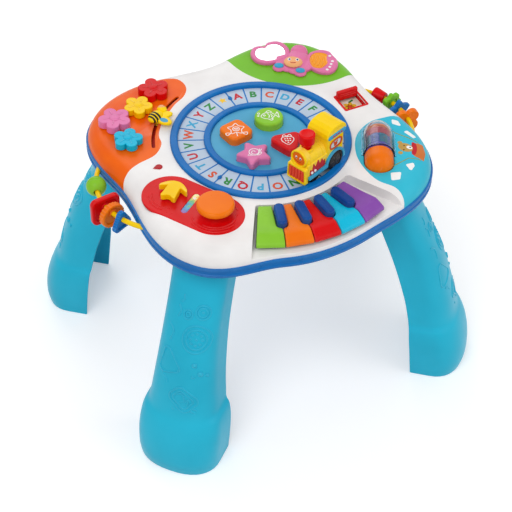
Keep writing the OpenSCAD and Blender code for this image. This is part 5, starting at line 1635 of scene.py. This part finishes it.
def picture():
    x0, y0, x1, y1 = WINDOW
    rim = plate("picture_rim", box_area(x0 - 2.4, y0 - 2.4, x1 + 2.4, y1 + 2.4, 2.4), 371.4, 372.9, 0.7, 3)
    carve(rim, cutter(box_area(x0 + 0.5, y0 + 0.5, x1 - 0.5, y1 - 0.2, 1.2), 360, 380))
    eased(rim, 0.3, 2, 60)
    fit(rim, "table", RED, smooth=50)
    card = plate("picture_card", box_area(x0 + 0.2, 6.2, x1 - 0.2, 40, 0.6), 361.0, 361.6, 0.1, 1)
    fit(card, "table", CARD, ["picture_card"])
    petals = [moved(ellipse(5.2, 3.4, 24, 5.4), (158, 21), 60 * k) for k in range(6)]
    printed("card_petals", petals, 361.6, LABEL_YELLOW)
    printed("card_heart", [ring(3.6, 24, (158, 21))], 361.72, LABEL_ORANGE)
    printed("card_leaves", [moved(stadium((0, 0), (7, 0), 1.8, 8), (152, 10), 30),
                            moved(stadium((0, 0), (6, 0), 1.6, 8), (168, 33), 200)], 361.6, LABEL_GREEN)
    leaf = plate("door_plate", box_area(x0 - 0.5, 35.7, x1 + 0.5, 71.5, 1.0), 365.8, 368.0, 0.4, 2)
    lip = block("door_lip", (x0 + 0.4, 32.6, 367.6), (x1 - 0.4, 38.5, 383.6), 1.6, 4)
    grips = [block("grip", (x0 + 4, 32.0, z), (x1 - 4, 33.4, z + 1.3), 0.4, 2) for z in (374.6, 378.0)]
    fit(joined("door", [leaf, lip] + grips), "door", RED, ["picture_door"], smooth=50)


picture()


# ---- inner parts, kept as packed ----


def painted(nodes, finish):
    """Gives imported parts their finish."""
    for name in nodes:
        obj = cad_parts[name]
        obj.data.materials.clear()
        obj.data.materials.append(finish)


def board_finish():
    """Green circuit board with copper tracks under its lacquer."""
    finish, tree = new_finish("circuit board")
    where = spot_on(tree)
    maze = add_node(tree, "ShaderNodeTexBrick", [("Vector", where)], Scale=90.0, Color1=tone("1E6B3A"),
                    Color2=tone("237442"), Mortar=tone("3E8F52")).outputs
    gloss = span(tree, noise(tree, where, 40.0, 4.0), To_Min=0.3, To_Max=0.55)
    dress(tree, maze["Color"], gloss, maze["Fac"], 0.1, 0.0003)
    return finish


def cell_finish():
    """Battery sleeves with paler bands across their length."""
    finish, tree = new_finish("battery sleeve")
    where = spot_on(tree)
    film = noise(tree, where, 150.0, 3.0)
    bands = add_node(tree, "ShaderNodeTexWave", [("Vector", where)], Scale=18.0, bands_direction="Y")
    step = sums(tree, "GREATER_THAN", bands.outputs["Fac"], 0.82)
    dress(tree, blend(tree, step, tone("25272B"), tone("B9893C")), span(tree, film, To_Min=0.25, To_Max=0.45), film,
          0.05, 0.0003)
    return finish


painted(["key_bed", "speaker", "battery_box"], GREY)
painted(["switch_pads"], plastic("pad rubber", "C9C8C2", "BDBCB5", 0.62, rub=0.1, peel=0.12))
painted(["main_board"], board_finish())
painted(["batteries"], cell_finish())
painted(["battery_door"], BLUE)
painted(["screws"], speckled("plated steel", 900.0, 2.0, (tone("A9ABAE"), tone("8D9094")), (0.22, 0.42), 0.08, 0.0002,
                             Metallic=1.0))
painted(["colour_wheel"], plastic("colour wheel plastic", "7FC46B", "E2B63A", 0.34, cloud=28.0))
painted(["picture_tray"], RED)


# ---- stage, light and camera ----


FLOOR_LIFT = 0.35
WORLD_FILL = 0.55


def rays_seen(tree):
    """One where a ray comes from the lens, a gloss or a clear part, else nought."""
    path = add_node(tree, "ShaderNodeLightPath").outputs
    seen = sums(tree, "MAXIMUM", path["Is Camera Ray"], path["Is Glossy Ray"])
    return sums(tree, "MAXIMUM", seen, path["Is Transmission Ray"])


def stage():
    floor = started("floor", bpy.ops.mesh.primitive_plane_add, size=14)
    finish, tree = new_finish("pale floor")
    surface = tree.nodes["Principled BSDF"]
    for label, value in (("Base Color", (0.8, 0.8, 0.8, 1)), ("Roughness", 0.9), ("Specular IOR Level", 0.0),
                         ("Emission Color", (1, 1, 1, 1))):
        surface.inputs[label].default_value = value
    feed(tree, surface, ("Emission Strength", sums(tree, "MULTIPLY", rays_seen(tree), FLOOR_LIFT)))
    floor.data.materials.append(finish)
    world = bpy.data.worlds.new("pale studio")
    bpy.context.scene.world = world
    world.use_nodes = True
    tree = world.node_tree
    back = tree.nodes["Background"]
    back.inputs["Color"].default_value = (1, 1, 1, 1)
    feed(tree, back, ("Strength", span(tree, rays_seen(tree), To_Min=WORLD_FILL, To_Max=1.0)))


def lamp(name, at, target, size, power):
    data = bpy.data.lights.new(name, "AREA")
    data.shape = "DISK"
    data.size = size
    data.energy = power
    obj = bpy.data.objects.new(name, data)
    bpy.context.scene.collection.objects.link(obj)
    obj.location = at
    obj.rotation_euler = (Vector(target) - Vector(at)).to_track_quat("-Z", "Y").to_euler()


def camera():
    data = bpy.data.cameras.new("camera")
    data.sensor_width = 36.0
    data.lens = 98.18
    obj = bpy.data.objects.new("camera", data)
    bpy.context.scene.collection.objects.link(obj)
    right = Vector((0.8974449, -0.4408714, 0.0150023))
    up = Vector((0.2980347, 0.6310557, 0.7162010))
    back = Vector((-0.3252198, -0.6382798, 0.6977327))
    turn = Matrix((right, up, back)).transposed().to_4x4()
    obj.matrix_world = Matrix.Translation((-0.7065779, -1.3790739, 1.6458736)) @ turn
    bpy.context.scene.camera = obj


stage()
lamp("key", (-1.3, -1.1, 2.4), (0, 0, 0.3), 1.6, 26)
lamp("fill", (1.6, -1.6, 1.5), (0, 0, 0.3), 2.2, 14)
lamp("back", (0.2, 2.0, 1.9), (0, 0, 0.35), 1.8, 14)
camera()
bpy.context.scene.view_settings.view_transform = "Standard"
